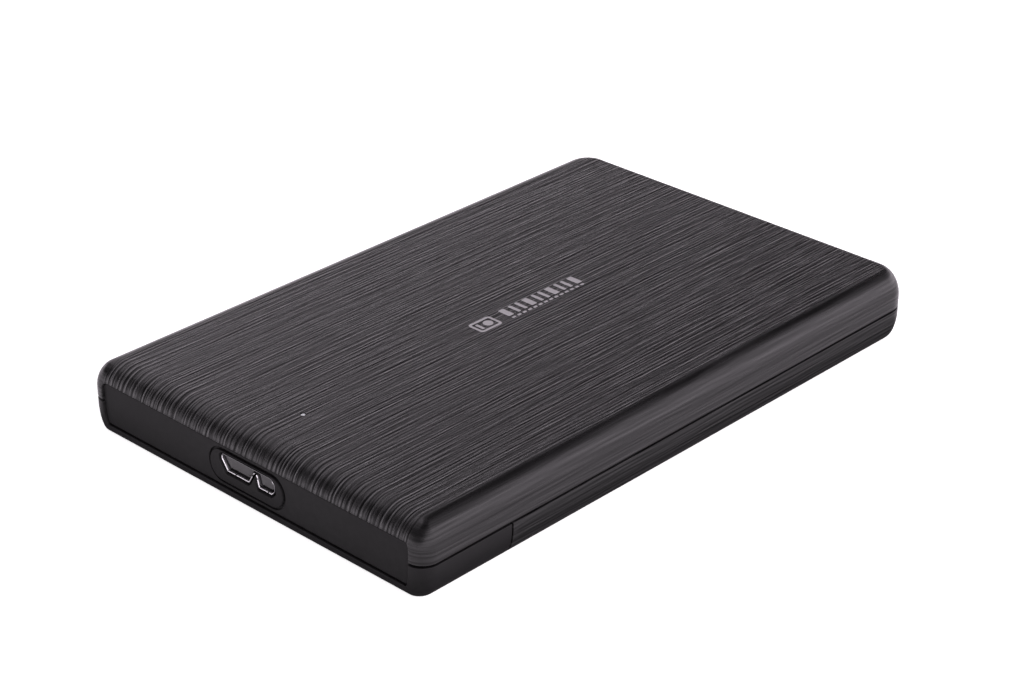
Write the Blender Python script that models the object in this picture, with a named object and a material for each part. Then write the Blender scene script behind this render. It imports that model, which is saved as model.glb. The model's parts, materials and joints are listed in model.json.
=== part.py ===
"""Portable 2.5-inch hard disk drive: a tool-free USB enclosure with a sliding cover, and the drive inside it.

The frame is +Z up, with the origin in the middle of the footprint. The USB socket faces -Y, and the cover
slides off towards +Y. The drive lies upside down in its bay, so that its label faces the sliding cover.
"""

from math import asin, atan2, cos, pi, radians, sin

import bmesh
import bpy

MM = 0.001

# Enclosure, outside
LENGTH = 125.0 * MM
WIDTH = 81.0 * MM
HEIGHT = 12.6 * MM
WALL = 1.6 * MM
FLOOR = 1.2 * MM
CEILING = HEIGHT - 1.2 * MM
FRONT = -LENGTH / 2
REAR = LENGTH / 2
FRONT_CORNER = 3.2 * MM  # plan radius of the two corners beside the socket
REAR_CORNER = 5.7 * MM
TOP_ROUND = 4.8 * MM  # height of the rounding above the straight side walls
TOP_INSETS = (3.8 * MM, 4.9 * MM, 2.5 * MM)  # how far it draws in: sides, front, rear
BOTTOM_ROUND = 5.0 * MM
BOTTOM_INSETS = (1.8 * MM, 0.7 * MM, 1.8 * MM)
SEAM_Z = 5.95 * MM  # parting line between the top shell and the pieces below it
SEAM_GAP = 0.3 * MM
LIP_LOW = SEAM_Z - 0.35 * MM  # foot of the top shell's lip, which closes the seam from inside
COVER_SEAM_Y = FRONT + 19.7 * MM  # where the fixed front base ends and the sliding cover starts

# Socket panel, in its window between the shells
WINDOW_HALF = 37.15 * MM
WINDOW_LOW = 1.45 * MM
WINDOW_HIGH = 9.4 * MM
WINDOW_LEAN = 0.55 * MM  # how far the window's sides lean in below the seam
PANEL_GAP = 0.1 * MM
PANEL_FACE = FRONT + 0.45 * MM
PANEL_BACK = FRONT + 3.1 * MM
FLANGE_FACE = FRONT + 2.4 * MM
PAD_HALF = 8.85 * MM  # long, rounded pad round the socket, inside a groove
PAD_X = -0.5 * MM
PAD_RADIUS = 2.8 * MM
PAD_Z = 5.55 * MM
PAD_RISE = 0.2 * MM
GROOVE = 0.45 * MM

# Rails that carry the drive and the sliding cover
BAY_HALF = 35.3 * MM
SKIRT = 1.2 * MM
SKIRT_LOW = 2.6 * MM
TONGUE = (3.4 * MM, 4.2 * MM)  # heights of the ledge on each skirt
HOOK = (4.5 * MM, 5.4 * MM)  # heights of the cover's hook, which runs on the tongue
HOOK_TIP = 37.0 * MM

# Bridge board, which hangs under the top shell
BOARD = (8.05 * MM, 9.05 * MM)
BOARD_HALF = 29.5 * MM
BOARD_Y = (FRONT + 3.3 * MM, FRONT + 14.5 * MM)
BOARD_SCREW_X = 26.0 * MM
BOARD_SCREW_Y = FRONT + 8.5 * MM
LIGHT_Y = FRONT + 12.6 * MM
SEAT = 0.05 * MM  # gap under a piece that rests on another

# Drive, in its own frame: x across, y back from its connector end, z up from its circuit-board side
DRIVE_WIDTH = 69.85 * MM
DRIVE_LENGTH = 100.2 * MM
DRIVE_HEIGHT = 9.5 * MM
DRIVE_FRONT = -45.0 * MM
DRIVE_HIGH = 11.0 * MM
RIM = 8.3 * MM  # top of the casting, which the gasket lies on
DECK = 3.6 * MM  # floor of the disk chamber
BOARD_BAY = 2.5 * MM  # depth of the circuit board's bay on the other side
CHAMBER_HALF = 33.4 * MM
COVER_PLATE = (8.85 * MM, 9.4 * MM)
SATA_X = 4.8 * MM
SATA_HALF = 16.2 * MM
SATA_Z = 3.5 * MM
SATA_DEPTH = 4.4 * MM

# Disks and head actuator, in the drive's frame
SPINDLE = (0.0, 65.2 * MM)
DISK_RADIUS = 32.5 * MM
DISK_BORE = 10.0 * MM
DISK = 0.65 * MM
LOWER_DISK = 4.6 * MM
UPPER_DISK = 7.0 * MM
PIVOT = (-13.0 * MM, 25.0 * MM)
HEAD_REACH = 34.0 * MM
PARK_ANGLE = radians(20)
COIL_ANGLE = PARK_ANGLE + pi
COIL_LEVELS = (5.7 * MM, 6.5 * MM)
LATCH_PIN = (-27.5 * MM, 32.5 * MM)

FINISHES = {  # name: colour, roughness, metallic
    "brushed_black": ((0.045, 0.044, 0.046), 0.42, 0.0),
    "matte_black": ((0.022, 0.022, 0.023), 0.55, 0.0),
    "black_plastic": ((0.03, 0.03, 0.032), 0.5, 0.0),
    "foam": ((0.05, 0.05, 0.05), 0.95, 0.0),
    "board_green": ((0.02, 0.12, 0.06), 0.45, 0.0),
    "chip_black": ((0.02, 0.02, 0.02), 0.4, 0.0),
    "steel": ((0.62, 0.62, 0.63), 0.28, 1.0),
    "machined_steel": ((0.6, 0.6, 0.61), 0.32, 1.0),
    "aluminium": ((0.66, 0.67, 0.69), 0.4, 1.0),
    "platter_mirror": ((0.8, 0.8, 0.82), 0.05, 1.0),
    "magnet": ((0.55, 0.55, 0.57), 0.2, 1.0),
    "copper": ((0.72, 0.36, 0.18), 0.35, 1.0),
    "clear_plastic": ((0.85, 0.88, 0.9), 0.15, 0.0),
    "ivory_plastic": ((0.8, 0.78, 0.7), 0.5, 0.0),
    "amber_film": ((0.6, 0.3, 0.05), 0.35, 0.0),
    "label_paper": ((0.85, 0.85, 0.84), 0.6, 0.0),
    "filter_paper": ((0.85, 0.85, 0.84), 0.9, 0.0),
    "rubber": ((0.03, 0.03, 0.03), 0.8, 0.0),
}


# ---------------------------------------------------------------- outlines


def arc(centre, radius, start, end, steps):
    """Points along an arc, from angle start to angle end."""
    return [
        (centre[0] + radius * cos(start + (end - start) * i / steps),
         centre[1] + radius * sin(start + (end - start) * i / steps))
        for i in range(steps + 1)
    ]


def rounded(left, right, low, high, low_radius, high_radius=None, steps=4):
    """A rectangle with round corners, counter-clockwise from its low right corner."""
    high_radius = low_radius if high_radius is None else high_radius
    corners = (
        ((right - low_radius, low + low_radius), low_radius, -pi / 2),
        ((right - high_radius, high - high_radius), high_radius, 0),
        ((left + high_radius, high - high_radius), high_radius, pi / 2),
        ((left + low_radius, low + low_radius), low_radius, pi),
    )
    return [p for centre, radius, a in corners for p in arc(centre, radius, a, a + pi / 2, steps)]


def rectangle(left, right, low, high):
    return [(left, low), (right, low), (right, high), (left, high)]


def sector(inner, outer, start, end, steps=10, centre=(0, 0)):
    """A piece of a flat ring, such as a magnet beside the pivot."""
    return arc(centre, outer, start, end, steps) + arc(centre, inner, end, start, steps)


def ray(distance, angle, centre=(0, 0), aside=0.0):
    """The point at a distance along an angle from a centre, moved aside to the left."""
    return (centre[0] + distance * cos(angle) - aside * sin(angle),
            centre[1] + distance * sin(angle) + aside * cos(angle))


def grown(outline, by):
    """The outline moved outwards by a distance; it has to run counter-clockwise."""
    count = len(outline)
    moved = []
    for i, (x, y) in enumerate(outline):
        last_x, last_y = outline[i - 1]
        next_x, next_y = outline[(i + 1) % count]
        before = atan2(y - last_y, x - last_x)
        after = atan2(next_y - y, next_x - x)
        turn = (after - before + pi) % (2 * pi) - pi
        reach = by / cos(turn / 2)
        facing = before + turn / 2 - pi / 2
        moved.append((x + reach * cos(facing), y + reach * sin(facing)))
    return moved


# ---------------------------------------------------------------- solids


def finish(name):
    """The Principled material of this name, made the first time it is asked for."""
    if name in bpy.data.materials:
        return bpy.data.materials[name]
    colour, roughness, metallic = FINISHES[name]
    made = bpy.data.materials.new(name)
    made.use_nodes = True
    shader = made.node_tree.nodes["Principled BSDF"]
    shader.inputs["Base Color"].default_value = (*colour, 1)
    shader.inputs["Roughness"].default_value = roughness
    shader.inputs["Metallic"].default_value = metallic
    made.diffuse_color = (*colour, 1)
    return made


def placed(name, bm, material, parent=None, location=(0, 0, 0)):
    """Puts a finished bmesh into the scene as one named, smooth-shaded object."""
    bmesh.ops.recalc_face_normals(bm, faces=bm.faces)
    mesh = bpy.data.meshes.new(name)
    bm.to_mesh(mesh)
    bm.free()
    mesh.shade_smooth()
    mesh.set_sharp_from_angle(angle=radians(35))
    obj = bpy.data.objects.new(name, mesh)
    bpy.context.scene.collection.objects.link(obj)
    obj.parent = parent
    obj.location = location
    if material:
        mesh.materials.append(finish(material))
    else:
        obj.hide_render = True
        obj.display_type = "WIRE"
    return obj


def loft(name, rings, material=None, parent=None):
    """A closed solid through rings of equal length, with flat ends."""
    bm = bmesh.new()
    loops = [[bm.verts.new(p) for p in ring] for ring in rings]
    for low, high in zip(loops, loops[1:]):
        for i in range(len(low)):
            j = (i + 1) % len(low)
            bm.faces.new((low[i], low[j], high[j], high[i]))
    bm.faces.new(list(reversed(loops[0])))
    bm.faces.new(loops[-1])
    return placed(name, bm, material, parent)


def plate(name, outline, levels, material=None, parent=None):
    """An outline in plan, extruded between two heights."""
    return loft(name, [[(x, y, z) for x, y in outline] for z in levels], material, parent)


def bar(name, outline, depths, material=None, parent=None):
    """An outline seen from the front, in x and z, extruded between two places along Y."""
    return loft(name, [[(x, y, z) for x, z in outline] for y in depths], material, parent)


def turned(name, profile, centre, material=None, parent=None, steps=40, location=None):
    """A closed profile of (radius, height) turned about a vertical axis through centre."""
    bm = bmesh.new()
    x0, y0 = centre
    columns = []
    for radius, z in profile:
        if radius == 0:
            columns.append([bm.verts.new((x0, y0, z))] * steps)
        else:
            ring = arc((x0, y0), radius, 0, 2 * pi, steps)[:-1]
            columns.append([bm.verts.new((x, y, z)) for x, y in ring])
    for a, b in zip(columns, columns[1:] + columns[:1]):
        for i in range(steps):
            j = (i + 1) % steps
            corners = list(dict.fromkeys((a[i], a[j], b[j], b[i])))
            if len(corners) > 2:
                bm.faces.new(corners)
    return placed(name, bm, material, parent, location or (0, 0, 0))


def washer(name, inner, outer, levels, centre, material=None, parent=None, steps=40):
    low, high = levels
    profile = [(inner, low), (outer, low), (outer, high), (inner, high)]
    return turned(name, profile, centre, material, parent, steps)


def post(name, radius, levels, centre, material=None, parent=None, steps=20):
    low, high = levels
    profile = [(0, low), (radius, low), (radius, high), (0, high)]
    return turned(name, profile, centre, material, parent, steps)


def boolean(obj, tools, operation):
    for tool in tools:
        tool.hide_render = True
        tool.display_type = "WIRE"
        modifier = obj.modifiers.new(operation.title(), "BOOLEAN")
        modifier.operation = operation
        modifier.solver = "EXACT"
        modifier.object = tool
    return obj


def cut(obj, *tools):
    return boolean(obj, tools, "DIFFERENCE")


def join(obj, *tools):
    return boolean(obj, tools, "UNION")


# ---------------------------------------------------------------- enclosure


def draw_in(z):
    """How far the outside draws in at a height: at the sides, the front and the rear."""
    if z > HEIGHT - TOP_ROUND:
        share = 1 - cos(asin(min(1, (z - HEIGHT + TOP_ROUND) / TOP_ROUND)))
        return [share * inset for inset in TOP_INSETS]
    if z < BOTTOM_ROUND:
        share = 1 - cos(asin(min(1, (BOTTOM_ROUND - z) / BOTTOM_ROUND)))
        return [share * inset for inset in BOTTOM_INSETS]
    return [0, 0, 0]


def body_ring(z, wall=0.0):
    """The enclosure's outline at a height, or its inner outline a wall's thickness inside it."""
    side, front, rear = (inset + wall for inset in draw_in(z))
    front_radius = max(FRONT_CORNER - (side + front) / 2, 0.8 * MM)
    rear_radius = max(REAR_CORNER - (side + rear) / 2, 1.2 * MM)
    half = WIDTH / 2 - side
    outline = rounded(-half, half, FRONT + front, REAR - rear, front_radius, rear_radius, 5)
    return [(x, y, z) for x, y in outline]


def window_outline(gap=0.0, low_gap=0.0):
    """The window for the socket panel, in x and z: its sides lean in towards the bottom."""
    low, high, half = WINDOW_LOW + low_gap, WINDOW_HIGH - gap, WINDOW_HALF - gap
    foot, corner = half - WINDOW_LEAN, 1.0 * MM
    right = arc((foot - 0.5 * MM, low + 0.5 * MM), 0.5 * MM, -pi / 2, radians(-6), 4)
    right += [(half - 0.12 * MM, low + 2.3 * MM), (half, SEAM_Z)]
    right += arc((half - corner, high - corner), corner, 0, pi / 2, 4)
    return right + [(-x, z) for x, z in reversed(right)]


def window(name):
    return bar(name, window_outline(), (FRONT - 1 * MM, FRONT + WALL + 1.0 * MM))


def top_shell():
    low = SEAM_Z + SEAM_GAP / 2
    levels = [low] + [HEIGHT - TOP_ROUND * (1 - sin(pi / 2 * i / 6)) for i in range(7)]
    shell = loft("top_shell", [body_ring(z) for z in levels], "brushed_black")
    hollow = [body_ring(z, WALL) for z in (low - 1 * MM, 8.4 * MM, 10.2 * MM, CEILING)]
    cut(shell, loft("top_hollow", hollow))
    lip_top = SEAM_Z + 0.5 * MM
    lip = loft("seam_lip", [body_ring(z, WALL + 0.1 * MM) for z in (LIP_LOW, SEAM_Z + 0.25 * MM)])
    join(lip, loft("lip_root", [body_ring(z, WALL - 0.3 * MM) for z in (SEAM_Z + 0.2 * MM, lip_top)]))
    inside = [body_ring(z, WALL + 0.7 * MM) for z in (LIP_LOW - 1 * MM, lip_top + 0.5 * MM)]
    cut(lip, loft("lip_inside", inside))
    cut(join(shell, lip), window("top_window"))
    for side, word in ((-1, "left"), (1, "right")):
        inner, outer = side * BAY_HALF, side * (BAY_HALF + SKIRT)
        rail = rectangle(min(inner, outer), max(inner, outer), COVER_SEAM_Y + 1 * MM, REAR - 3.5 * MM)
        skirt = plate(f"skirt_{word}", rail, (SKIRT_LOW, CEILING + 0.4 * MM))
        reach = side * (BAY_HALF + SKIRT + 1.6 * MM)
        ledge = rectangle(min(inner, reach), max(inner, reach), COVER_SEAM_Y + 1.5 * MM, REAR - 4 * MM)
        join(skirt, plate(f"tongue_{word}", ledge, TONGUE))
        join(shell, skirt)
        spot = (side * BOARD_SCREW_X, BOARD_SCREW_Y)
        thread = (BOARD[1] - 1 * MM, CEILING - 0.2 * MM)
        join(shell, post(f"boss_{word}", 2.4 * MM, (BOARD[1] + SEAT, CEILING + 0.4 * MM), spot))
        cut(shell, post(f"boss_hole_{word}", 0.85 * MM, thread, spot, steps=12))
    light = post("light_hole", 0.65 * MM, (CEILING - 1 * MM, HEIGHT + 1 * MM), (0, LIGHT_Y), steps=16)
    return cut(shell, light)


def lower_tray(name, front, rear):
    """The stretch of the tray below the seam between two places along Y."""
    top = SEAM_Z - SEAM_GAP / 2
    levels = [BOTTOM_ROUND * (1 - sin(pi / 2 * i / 6)) for i in range(6, -1, -1)] + [top]
    tray = loft(name, [body_ring(z) for z in levels], "brushed_black")
    stretch = plate(f"{name}_stretch", rectangle(-WIDTH, WIDTH, front, rear), (-5 * MM, HEIGHT))
    boolean(tray, [stretch], "INTERSECT")
    hollow = [body_ring(z, WALL) for z in (FLOOR, 2.4 * MM, 4.2 * MM, SEAM_Z + 1 * MM)]
    return cut(tray, loft(f"{name}_hollow", hollow))


def front_base():
    base = lower_tray("front_base", FRONT - 5 * MM, COVER_SEAM_Y - SEAM_GAP / 2)
    cut(base, window("base_window"))
    for side in (-1, 1):
        inner, outer, root = side * 36.8 * MM, side * 37.95 * MM, side * 39.6 * MM
        snap = rectangle(min(inner, outer), max(inner, outer), FRONT + 5 * MM, FRONT + 13 * MM)
        clip = plate(f"snap_{side}", snap, (FLOOR - 0.5 * MM, 8.2 * MM))
        foot = rectangle(min(inner, root), max(inner, root), FRONT + 5 * MM, FRONT + 13 * MM)
        join(clip, plate(f"snap_foot_{side}", foot, (2.6 * MM, 4.8 * MM)))
        join(base, clip)
    return base


def sliding_cover():
    cover = lower_tray("sliding_cover", COVER_SEAM_Y + SEAM_GAP / 2, REAR + 5 * MM)
    for side in (-1, 1):
        tip, root = side * HOOK_TIP, side * (WIDTH / 2 - 0.9 * MM)
        hook = rectangle(min(tip, root), max(tip, root), COVER_SEAM_Y + 0.5 * MM, REAR - 6 * MM)
        join(cover, plate(f"hook_{side}", hook, HOOK))
    return cover


def socket_outline():
    """The outside of a USB micro-B SuperSpeed socket, in x and z: two bays with a notch between them."""
    points = [
        (-5.1, 4.9), (0.2, 4.9), (1.5, 7.05), (1.95, 7.05), (2.5, 4.9), (5.7, 4.9),
        (6.5, 5.7), (6.5, 6.9), (5.6, 7.95), (-6.1, 7.95), (-6.5, 7.5), (-6.5, 6.8),
    ]
    return [(x * MM, z * MM) for x, z in points]


def pill(half, radius):
    """A long outline with half-round ends, about the middle of the pad."""
    return rounded(PAD_X - half, PAD_X + half, PAD_Z - radius, PAD_Z + radius, radius - 0.01 * MM, steps=8)


def port_panel():
    face = window_outline(PANEL_GAP, 0.3 * MM)
    panel = bar("port_panel", face, (PANEL_FACE, PANEL_BACK), "matte_black")
    rim = 0.4 * MM
    flange = rectangle(-WINDOW_HALF - rim, WINDOW_HALF + rim, FLOOR + 0.2 * MM, WINDOW_HIGH + 0.5 * MM)
    join(panel, bar("panel_flange", flange, (FLANGE_FACE, PANEL_BACK)))
    groove = bar("panel_groove", pill(PAD_HALF + GROOVE, PAD_RADIUS + GROOVE),
                 (FRONT - 1 * MM, PANEL_FACE + 0.4 * MM))
    cut(panel, groove)
    join(panel, bar("panel_pad", pill(PAD_HALF, PAD_RADIUS), (PANEL_FACE - PAD_RISE, PANEL_FACE + 1 * MM)))
    opening = grown(socket_outline(), 0.25 * MM)
    return cut(panel, bar("panel_port", opening, (FRONT - 1 * MM, PANEL_BACK + 1 * MM)))


def usb_socket():
    mouth, back = PANEL_FACE - 0.05 * MM, FRONT + 7.2 * MM
    outline = socket_outline()
    shell = bar("usb_socket_shell", outline, (mouth, back), "steel")
    cut(shell, bar("usb_mouth", grown(outline, -0.3 * MM), (mouth - 1 * MM, back - 0.4 * MM)))
    inside = grown(outline, -0.35 * MM)
    root = back - 0.45 * MM
    insert = bar("usb_socket_insert", inside, (root - 1.2 * MM, root), "black_plastic")
    for left, right in ((-4.9 * MM, 0.4 * MM), (2.9 * MM, 5.6 * MM)):
        tongue = rectangle(left, right, 6.45 * MM, 7.1 * MM)
        join(insert, bar(f"usb_tongue_{round(left / MM)}", tongue, (mouth + 1.2 * MM, root - 0.5 * MM)))
    return shell, insert


def bridge_board():
    board = plate("bridge_board", rounded(-BOARD_HALF, BOARD_HALF, *BOARD_Y, 1 * MM), BOARD, "board_green")
    for side, word in ((-1, "left"), (1, "right")):
        spot = (side * BOARD_SCREW_X, BOARD_SCREW_Y)
        through = (BOARD[0] - 1 * MM, BOARD[1] + 1 * MM)
        cut(board, post(f"board_hole_{word}", 1.0 * MM, through, spot, steps=16))
        head = BOARD[0] - SEAT
        profile = [(0, head - 1.0 * MM), (1.9 * MM, head - 0.8 * MM), (1.9 * MM, head),
                   (0.75 * MM, head), (0.75 * MM, CEILING - 0.5 * MM), (0, CEILING - 0.4 * MM)]
        turned(f"board_screw_{word}", profile, spot, "machined_steel", steps=16)
    chip = rectangle(10 * MM, 16 * MM, FRONT + 3.6 * MM, FRONT + 9.6 * MM)
    plate("bridge_chip", chip, (BOARD[0] - 0.95 * MM, BOARD[0] - SEAT), "chip_black")
    light = rectangle(-0.8 * MM, 0.8 * MM, LIGHT_Y - 0.6 * MM, LIGHT_Y + 0.6 * MM)
    plate("status_led", light, (BOARD[1] + SEAT, BOARD[1] + 0.6 * MM), "clear_plastic")
    pipe = [(0, BOARD[1] + 0.7 * MM), (1.1 * MM, BOARD[1] + 0.7 * MM), (1.1 * MM, CEILING - SEAT),
            (0.5 * MM, CEILING - SEAT), (0.5 * MM, HEIGHT - 0.05 * MM), (0, HEIGHT - 0.05 * MM)]
    turned("light_pipe", pipe, (0, LIGHT_Y), "clear_plastic", steps=20)


def sata_socket():
    """The socket at the back of the bridge board. Its nose stands in the drive's connector pocket."""
    z = DRIVE_HIGH - SATA_Z
    tip = DRIVE_FRONT + SATA_DEPTH
    across = (-SATA_X - SATA_HALF, -SATA_X + SATA_HALF)
    socket = bar("sata_socket", rectangle(*across, z - 1.6 * MM, z + 1.6 * MM),
                 (BOARD_Y[1] + SEAT, tip), "black_plastic")
    tail = rectangle(*across, z - 1.6 * MM, BOARD[0] - SEAT)
    join(socket, bar("sata_tail", tail, (BOARD_Y[1] - 4 * MM, BOARD_Y[1] + 1 * MM)))
    for left, right in sata_blades():
        slot = rectangle(-right - 0.15 * MM, -left + 0.15 * MM, z - 0.75 * MM, z + 0.75 * MM)
        cut(socket, bar(f"sata_slot_{round(left / MM)}", slot, (DRIVE_FRONT - 0.4 * MM, tip + 1 * MM)))
    return socket


def sata_blades():
    """Left and right edges of the data blade and the power blade, across the drive."""
    start = SATA_X - 15.2 * MM
    return (start, start + 8.6 * MM), (start + 11.4 * MM, start + 30.4 * MM)


def rear_pad():
    back = REAR - WALL - 0.15 * MM
    face = rectangle(-28 * MM, 28 * MM, SEAM_Z + 0.5 * MM, 9.0 * MM)
    return bar("rear_pad", face, (back - 0.9 * MM, back), "foam")


# ---------------------------------------------------------------- drive


def chamber_outline():
    """The disk chamber: a half circle round the disks, and a squarer end round the actuator."""
    half, (_, centre_y) = CHAMBER_HALF, SPINDLE
    step_x, corner_y, front_y = -13.4 * MM, 5.4 * MM, 10.6 * MM
    outline = [(-half + 1.5 * MM, corner_y), (step_x, corner_y), (step_x, front_y)]
    outline += arc((half - 6 * MM, front_y + 6 * MM), 6 * MM, -pi / 2, 0, 4)
    outline += arc((0, centre_y), half, 0, pi, 32)
    return outline + [(-half, corner_y + 1.5 * MM)]


def cover_screw_spots():
    return [(-31.8 * MM, 3 * MM), (31.8 * MM, 3 * MM), (-31.5 * MM, 96.8 * MM), (31.5 * MM, 96.8 * MM)]


def board_screw_spots():
    return [(-29 * MM, 14 * MM), (29 * MM, 14 * MM), (28 * MM, 44 * MM)]


def drive_base(frame):
    half = DRIVE_WIDTH / 2
    outline = rounded(-half, half, 0, DRIVE_LENGTH, 1.5 * MM, steps=3)
    base = plate("drive_base", outline, (0, RIM), "aluminium", frame)
    top = RIM + 1 * MM
    cut(base, plate("chamber", chamber_outline(), (DECK, top), parent=frame))
    bay = rounded(-32.2 * MM, 32.2 * MM, 8.9 * MM, 51 * MM, 2 * MM)
    cut(base, plate("board_bay", bay, (-1 * MM, BOARD_BAY), parent=frame))
    boss = (1.0 * MM, BOARD_BAY + 0.3 * MM)
    join(base, post("motor_boss", 18.4 * MM, boss, SPINDLE, parent=frame, steps=40))
    cut(base, post("motor_pit", 17.0 * MM, (2.2 * MM, DECK + 1 * MM), SPINDLE, parent=frame, steps=40))
    pocket = rectangle(SATA_X - 16.5 * MM, SATA_X + 16.5 * MM, -1 * MM, 9.2 * MM)
    cut(base, plate("sata_pocket", pocket, (-1 * MM, SATA_Z + 2.0 * MM), parent=frame))
    for i, spot in enumerate(cover_screw_spots()):
        cut(base, post(f"cover_thread_{i}", 0.8 * MM, (RIM - 3 * MM, top), spot, parent=frame, steps=10))
    for i, spot in enumerate(board_screw_spots()):
        cut(base, post(f"board_thread_{i}", 0.7 * MM, (BOARD_BAY - 1 * MM, BOARD_BAY + 0.8 * MM), spot,
                       parent=frame, steps=10))
    return base


def drive_cover(frame):
    inset, half = 0.4 * MM, DRIVE_WIDTH / 2
    outline = rounded(-half + inset, half - inset, inset, DRIVE_LENGTH - inset, 1.5 * MM, steps=3)
    lid = plate("drive_top_cover", outline, COVER_PLATE, "steel", frame)
    low, high = COVER_PLATE
    head = (high - 0.3 * MM, high)
    for i, spot in enumerate(cover_screw_spots() + [PIVOT]):
        through, sink = (low - 1 * MM, high + 1 * MM), (head[0] - SEAT, high + 1 * MM)
        cut(lid, post(f"lid_hole_{i}", 1.0 * MM, through, spot, parent=frame, steps=12),
            post(f"lid_sink_{i}", 1.9 * MM, sink, spot, parent=frame, steps=16))
        name = f"cover_screw_{i + 1}" if spot != PIVOT else "pivot_screw"
        foot = low - 2.2 * MM if spot != PIVOT else low - 1.8 * MM
        profile = [(0, foot), (0.65 * MM, foot), (0.65 * MM, head[0]), (1.7 * MM, head[0]),
                   (1.7 * MM, head[1]), (0, head[1])]
        turned(name, profile, spot, "machined_steel", frame, steps=16)
    outside, inside = (grown(chamber_outline(), by * MM) for by in (1.1, 0.35))
    seal = plate("cover_gasket", outside, (RIM + SEAT, low - SEAT), "rubber", frame)
    cut(seal, plate("gasket_inside", inside, (RIM - 1 * MM, low + 1 * MM), parent=frame))
    label = rounded(-29 * MM, 29 * MM, 33 * MM, 93 * MM, 2 * MM)
    plate("drive_label", label, (high + 0.02 * MM, DRIVE_HEIGHT), "label_paper", frame)
    return lid


def drive_electronics(frame):
    levels = (1.3 * MM, 2.1 * MM)
    outline = rounded(-31.8 * MM, 31.8 * MM, 9.3 * MM, 50.6 * MM, 1.8 * MM)
    board = plate("drive_circuit_board", outline, levels, "board_green", frame)
    cut(board, post("board_scoop", 18.9 * MM, (-1 * MM, 4 * MM), SPINDLE, parent=frame, steps=40))
    for i, (x, y) in enumerate(board_screw_spots()):
        cut(board, post(f"circuit_hole_{i}", 0.9 * MM, (-1 * MM, 4 * MM), (x, y), parent=frame, steps=12))
        seat, tip = levels[0] - SEAT, BOARD_BAY + 0.6 * MM
        profile = [(0, 0.5 * MM), (1.6 * MM, 0.6 * MM), (1.6 * MM, seat), (0.6 * MM, seat),
                   (0.6 * MM, tip), (0, tip)]
        turned(f"circuit_board_screw_{i + 1}", profile, (x, y), "machined_steel", frame, steps=16)
    chips = {
        "controller_chip": (-9, 5, 18, 32),
        "cache_chip": (10, 18, 24, 36),
        "motor_driver_chip": (-25, -17, 33, 41),
    }
    for name, (left, right, near, far) in chips.items():
        outline = rectangle(left * MM, right * MM, near * MM, far * MM)
        plate(name, outline, (0.4 * MM, levels[0] - SEAT), "chip_black", frame)
    plug_y = SATA_DEPTH + 0.4 * MM
    root = rectangle(SATA_X - SATA_HALF, SATA_X + SATA_HALF, 0.9 * MM, SATA_Z + 1.7 * MM)
    plug = bar("drive_sata_plug", root, (plug_y, 8.9 * MM), "black_plastic", frame)
    for left, right in sata_blades():
        blade = rectangle(left, right, SATA_Z - 0.6 * MM, SATA_Z + 0.6 * MM)
        join(plug, bar(f"sata_blade_{round(left / MM)}", blade, (0.1 * MM, plug_y + 1 * MM), parent=frame))


def motor(frame):
    """The parts of the spindle motor that stay still: a toothed stator and the bearing's sleeve."""
    stator = washer("motor_stator", 15.2 * MM, 16.7 * MM, (2.25 * MM, 3.7 * MM), SPINDLE, "steel", frame)
    teeth = 9
    half_tooth = [(15.6, 0.9), (11.9, 0.9), (11.9, 2.4), (11.2, 2.4)]
    for i in range(teeth):
        angle = 2 * pi * i / teeth
        left = [ray(along * MM, angle, SPINDLE, aside * MM) for along, aside in half_tooth]
        right = [ray(along * MM, angle, SPINDLE, -aside * MM) for along, aside in reversed(half_tooth)]
        join(stator, plate(f"stator_tooth_{i}", left + right, (2.3 * MM, 3.6 * MM), parent=frame))
    washer("spindle_sleeve", 2.1 * MM, 4.25 * MM, (2.25 * MM, 5.9 * MM), SPINDLE, "machined_steel", frame, 32)


def rotor(frame):
    """The turning hub with its magnet, its two disks, and the clamp that holds them."""
    axis = empty("spindle_axis", (*SPINDLE, 0), frame)
    middle = (0, 0)
    hub = [
        (0, 2.4), (2.0, 2.4), (2.0, 6.0), (4.4, 6.0), (4.4, 2.6), (9.1, 2.6), (9.1, 3.95), (12.2, 3.95),
        (12.2, 4.55), (9.9, 4.55), (9.9, 7.6), (0.9, 7.6), (0.9, 6.6), (0, 6.6),
    ]
    turned("spindle_hub", [(r * MM, z * MM) for r, z in hub], middle, "aluminium", axis)
    washer("rotor_magnet", 9.2 * MM, 10.6 * MM, (2.5 * MM, 3.9 * MM), middle, "magnet", axis)
    for name, z in (("platter_lower", LOWER_DISK), ("platter_upper", UPPER_DISK)):
        washer(name, DISK_BORE, DISK_RADIUS, (z, z + DISK), middle, "platter_mirror", axis, 64)
    between = (LOWER_DISK + DISK + SEAT, UPPER_DISK - SEAT)
    washer("platter_spacer", DISK_BORE, 11.8 * MM, between, middle, "aluminium", axis)
    clamp = UPPER_DISK + DISK + SEAT
    washer("disk_clamp", 1.1 * MM, 11.6 * MM, (clamp, clamp + 0.45 * MM), middle, "aluminium", axis)
    head = clamp + 0.5 * MM
    screw = [(0, 6.8 * MM), (0.8 * MM, 6.8 * MM), (0.8 * MM, head), (2.2 * MM, head),
             (2.2 * MM, head + 0.3 * MM), (0, head + 0.3 * MM)]
    turned("clamp_screw", screw, middle, "machined_steel", axis, steps=20)


def tapered(start, end, start_half, end_half, angle=PARK_ANGLE):
    """The outline of an arm from its axis: straight sides that draw together."""
    return [ray(start, angle, aside=-start_half), ray(end, angle, aside=-end_half),
            ray(end, angle, aside=end_half), ray(start, angle, aside=start_half)]


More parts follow.
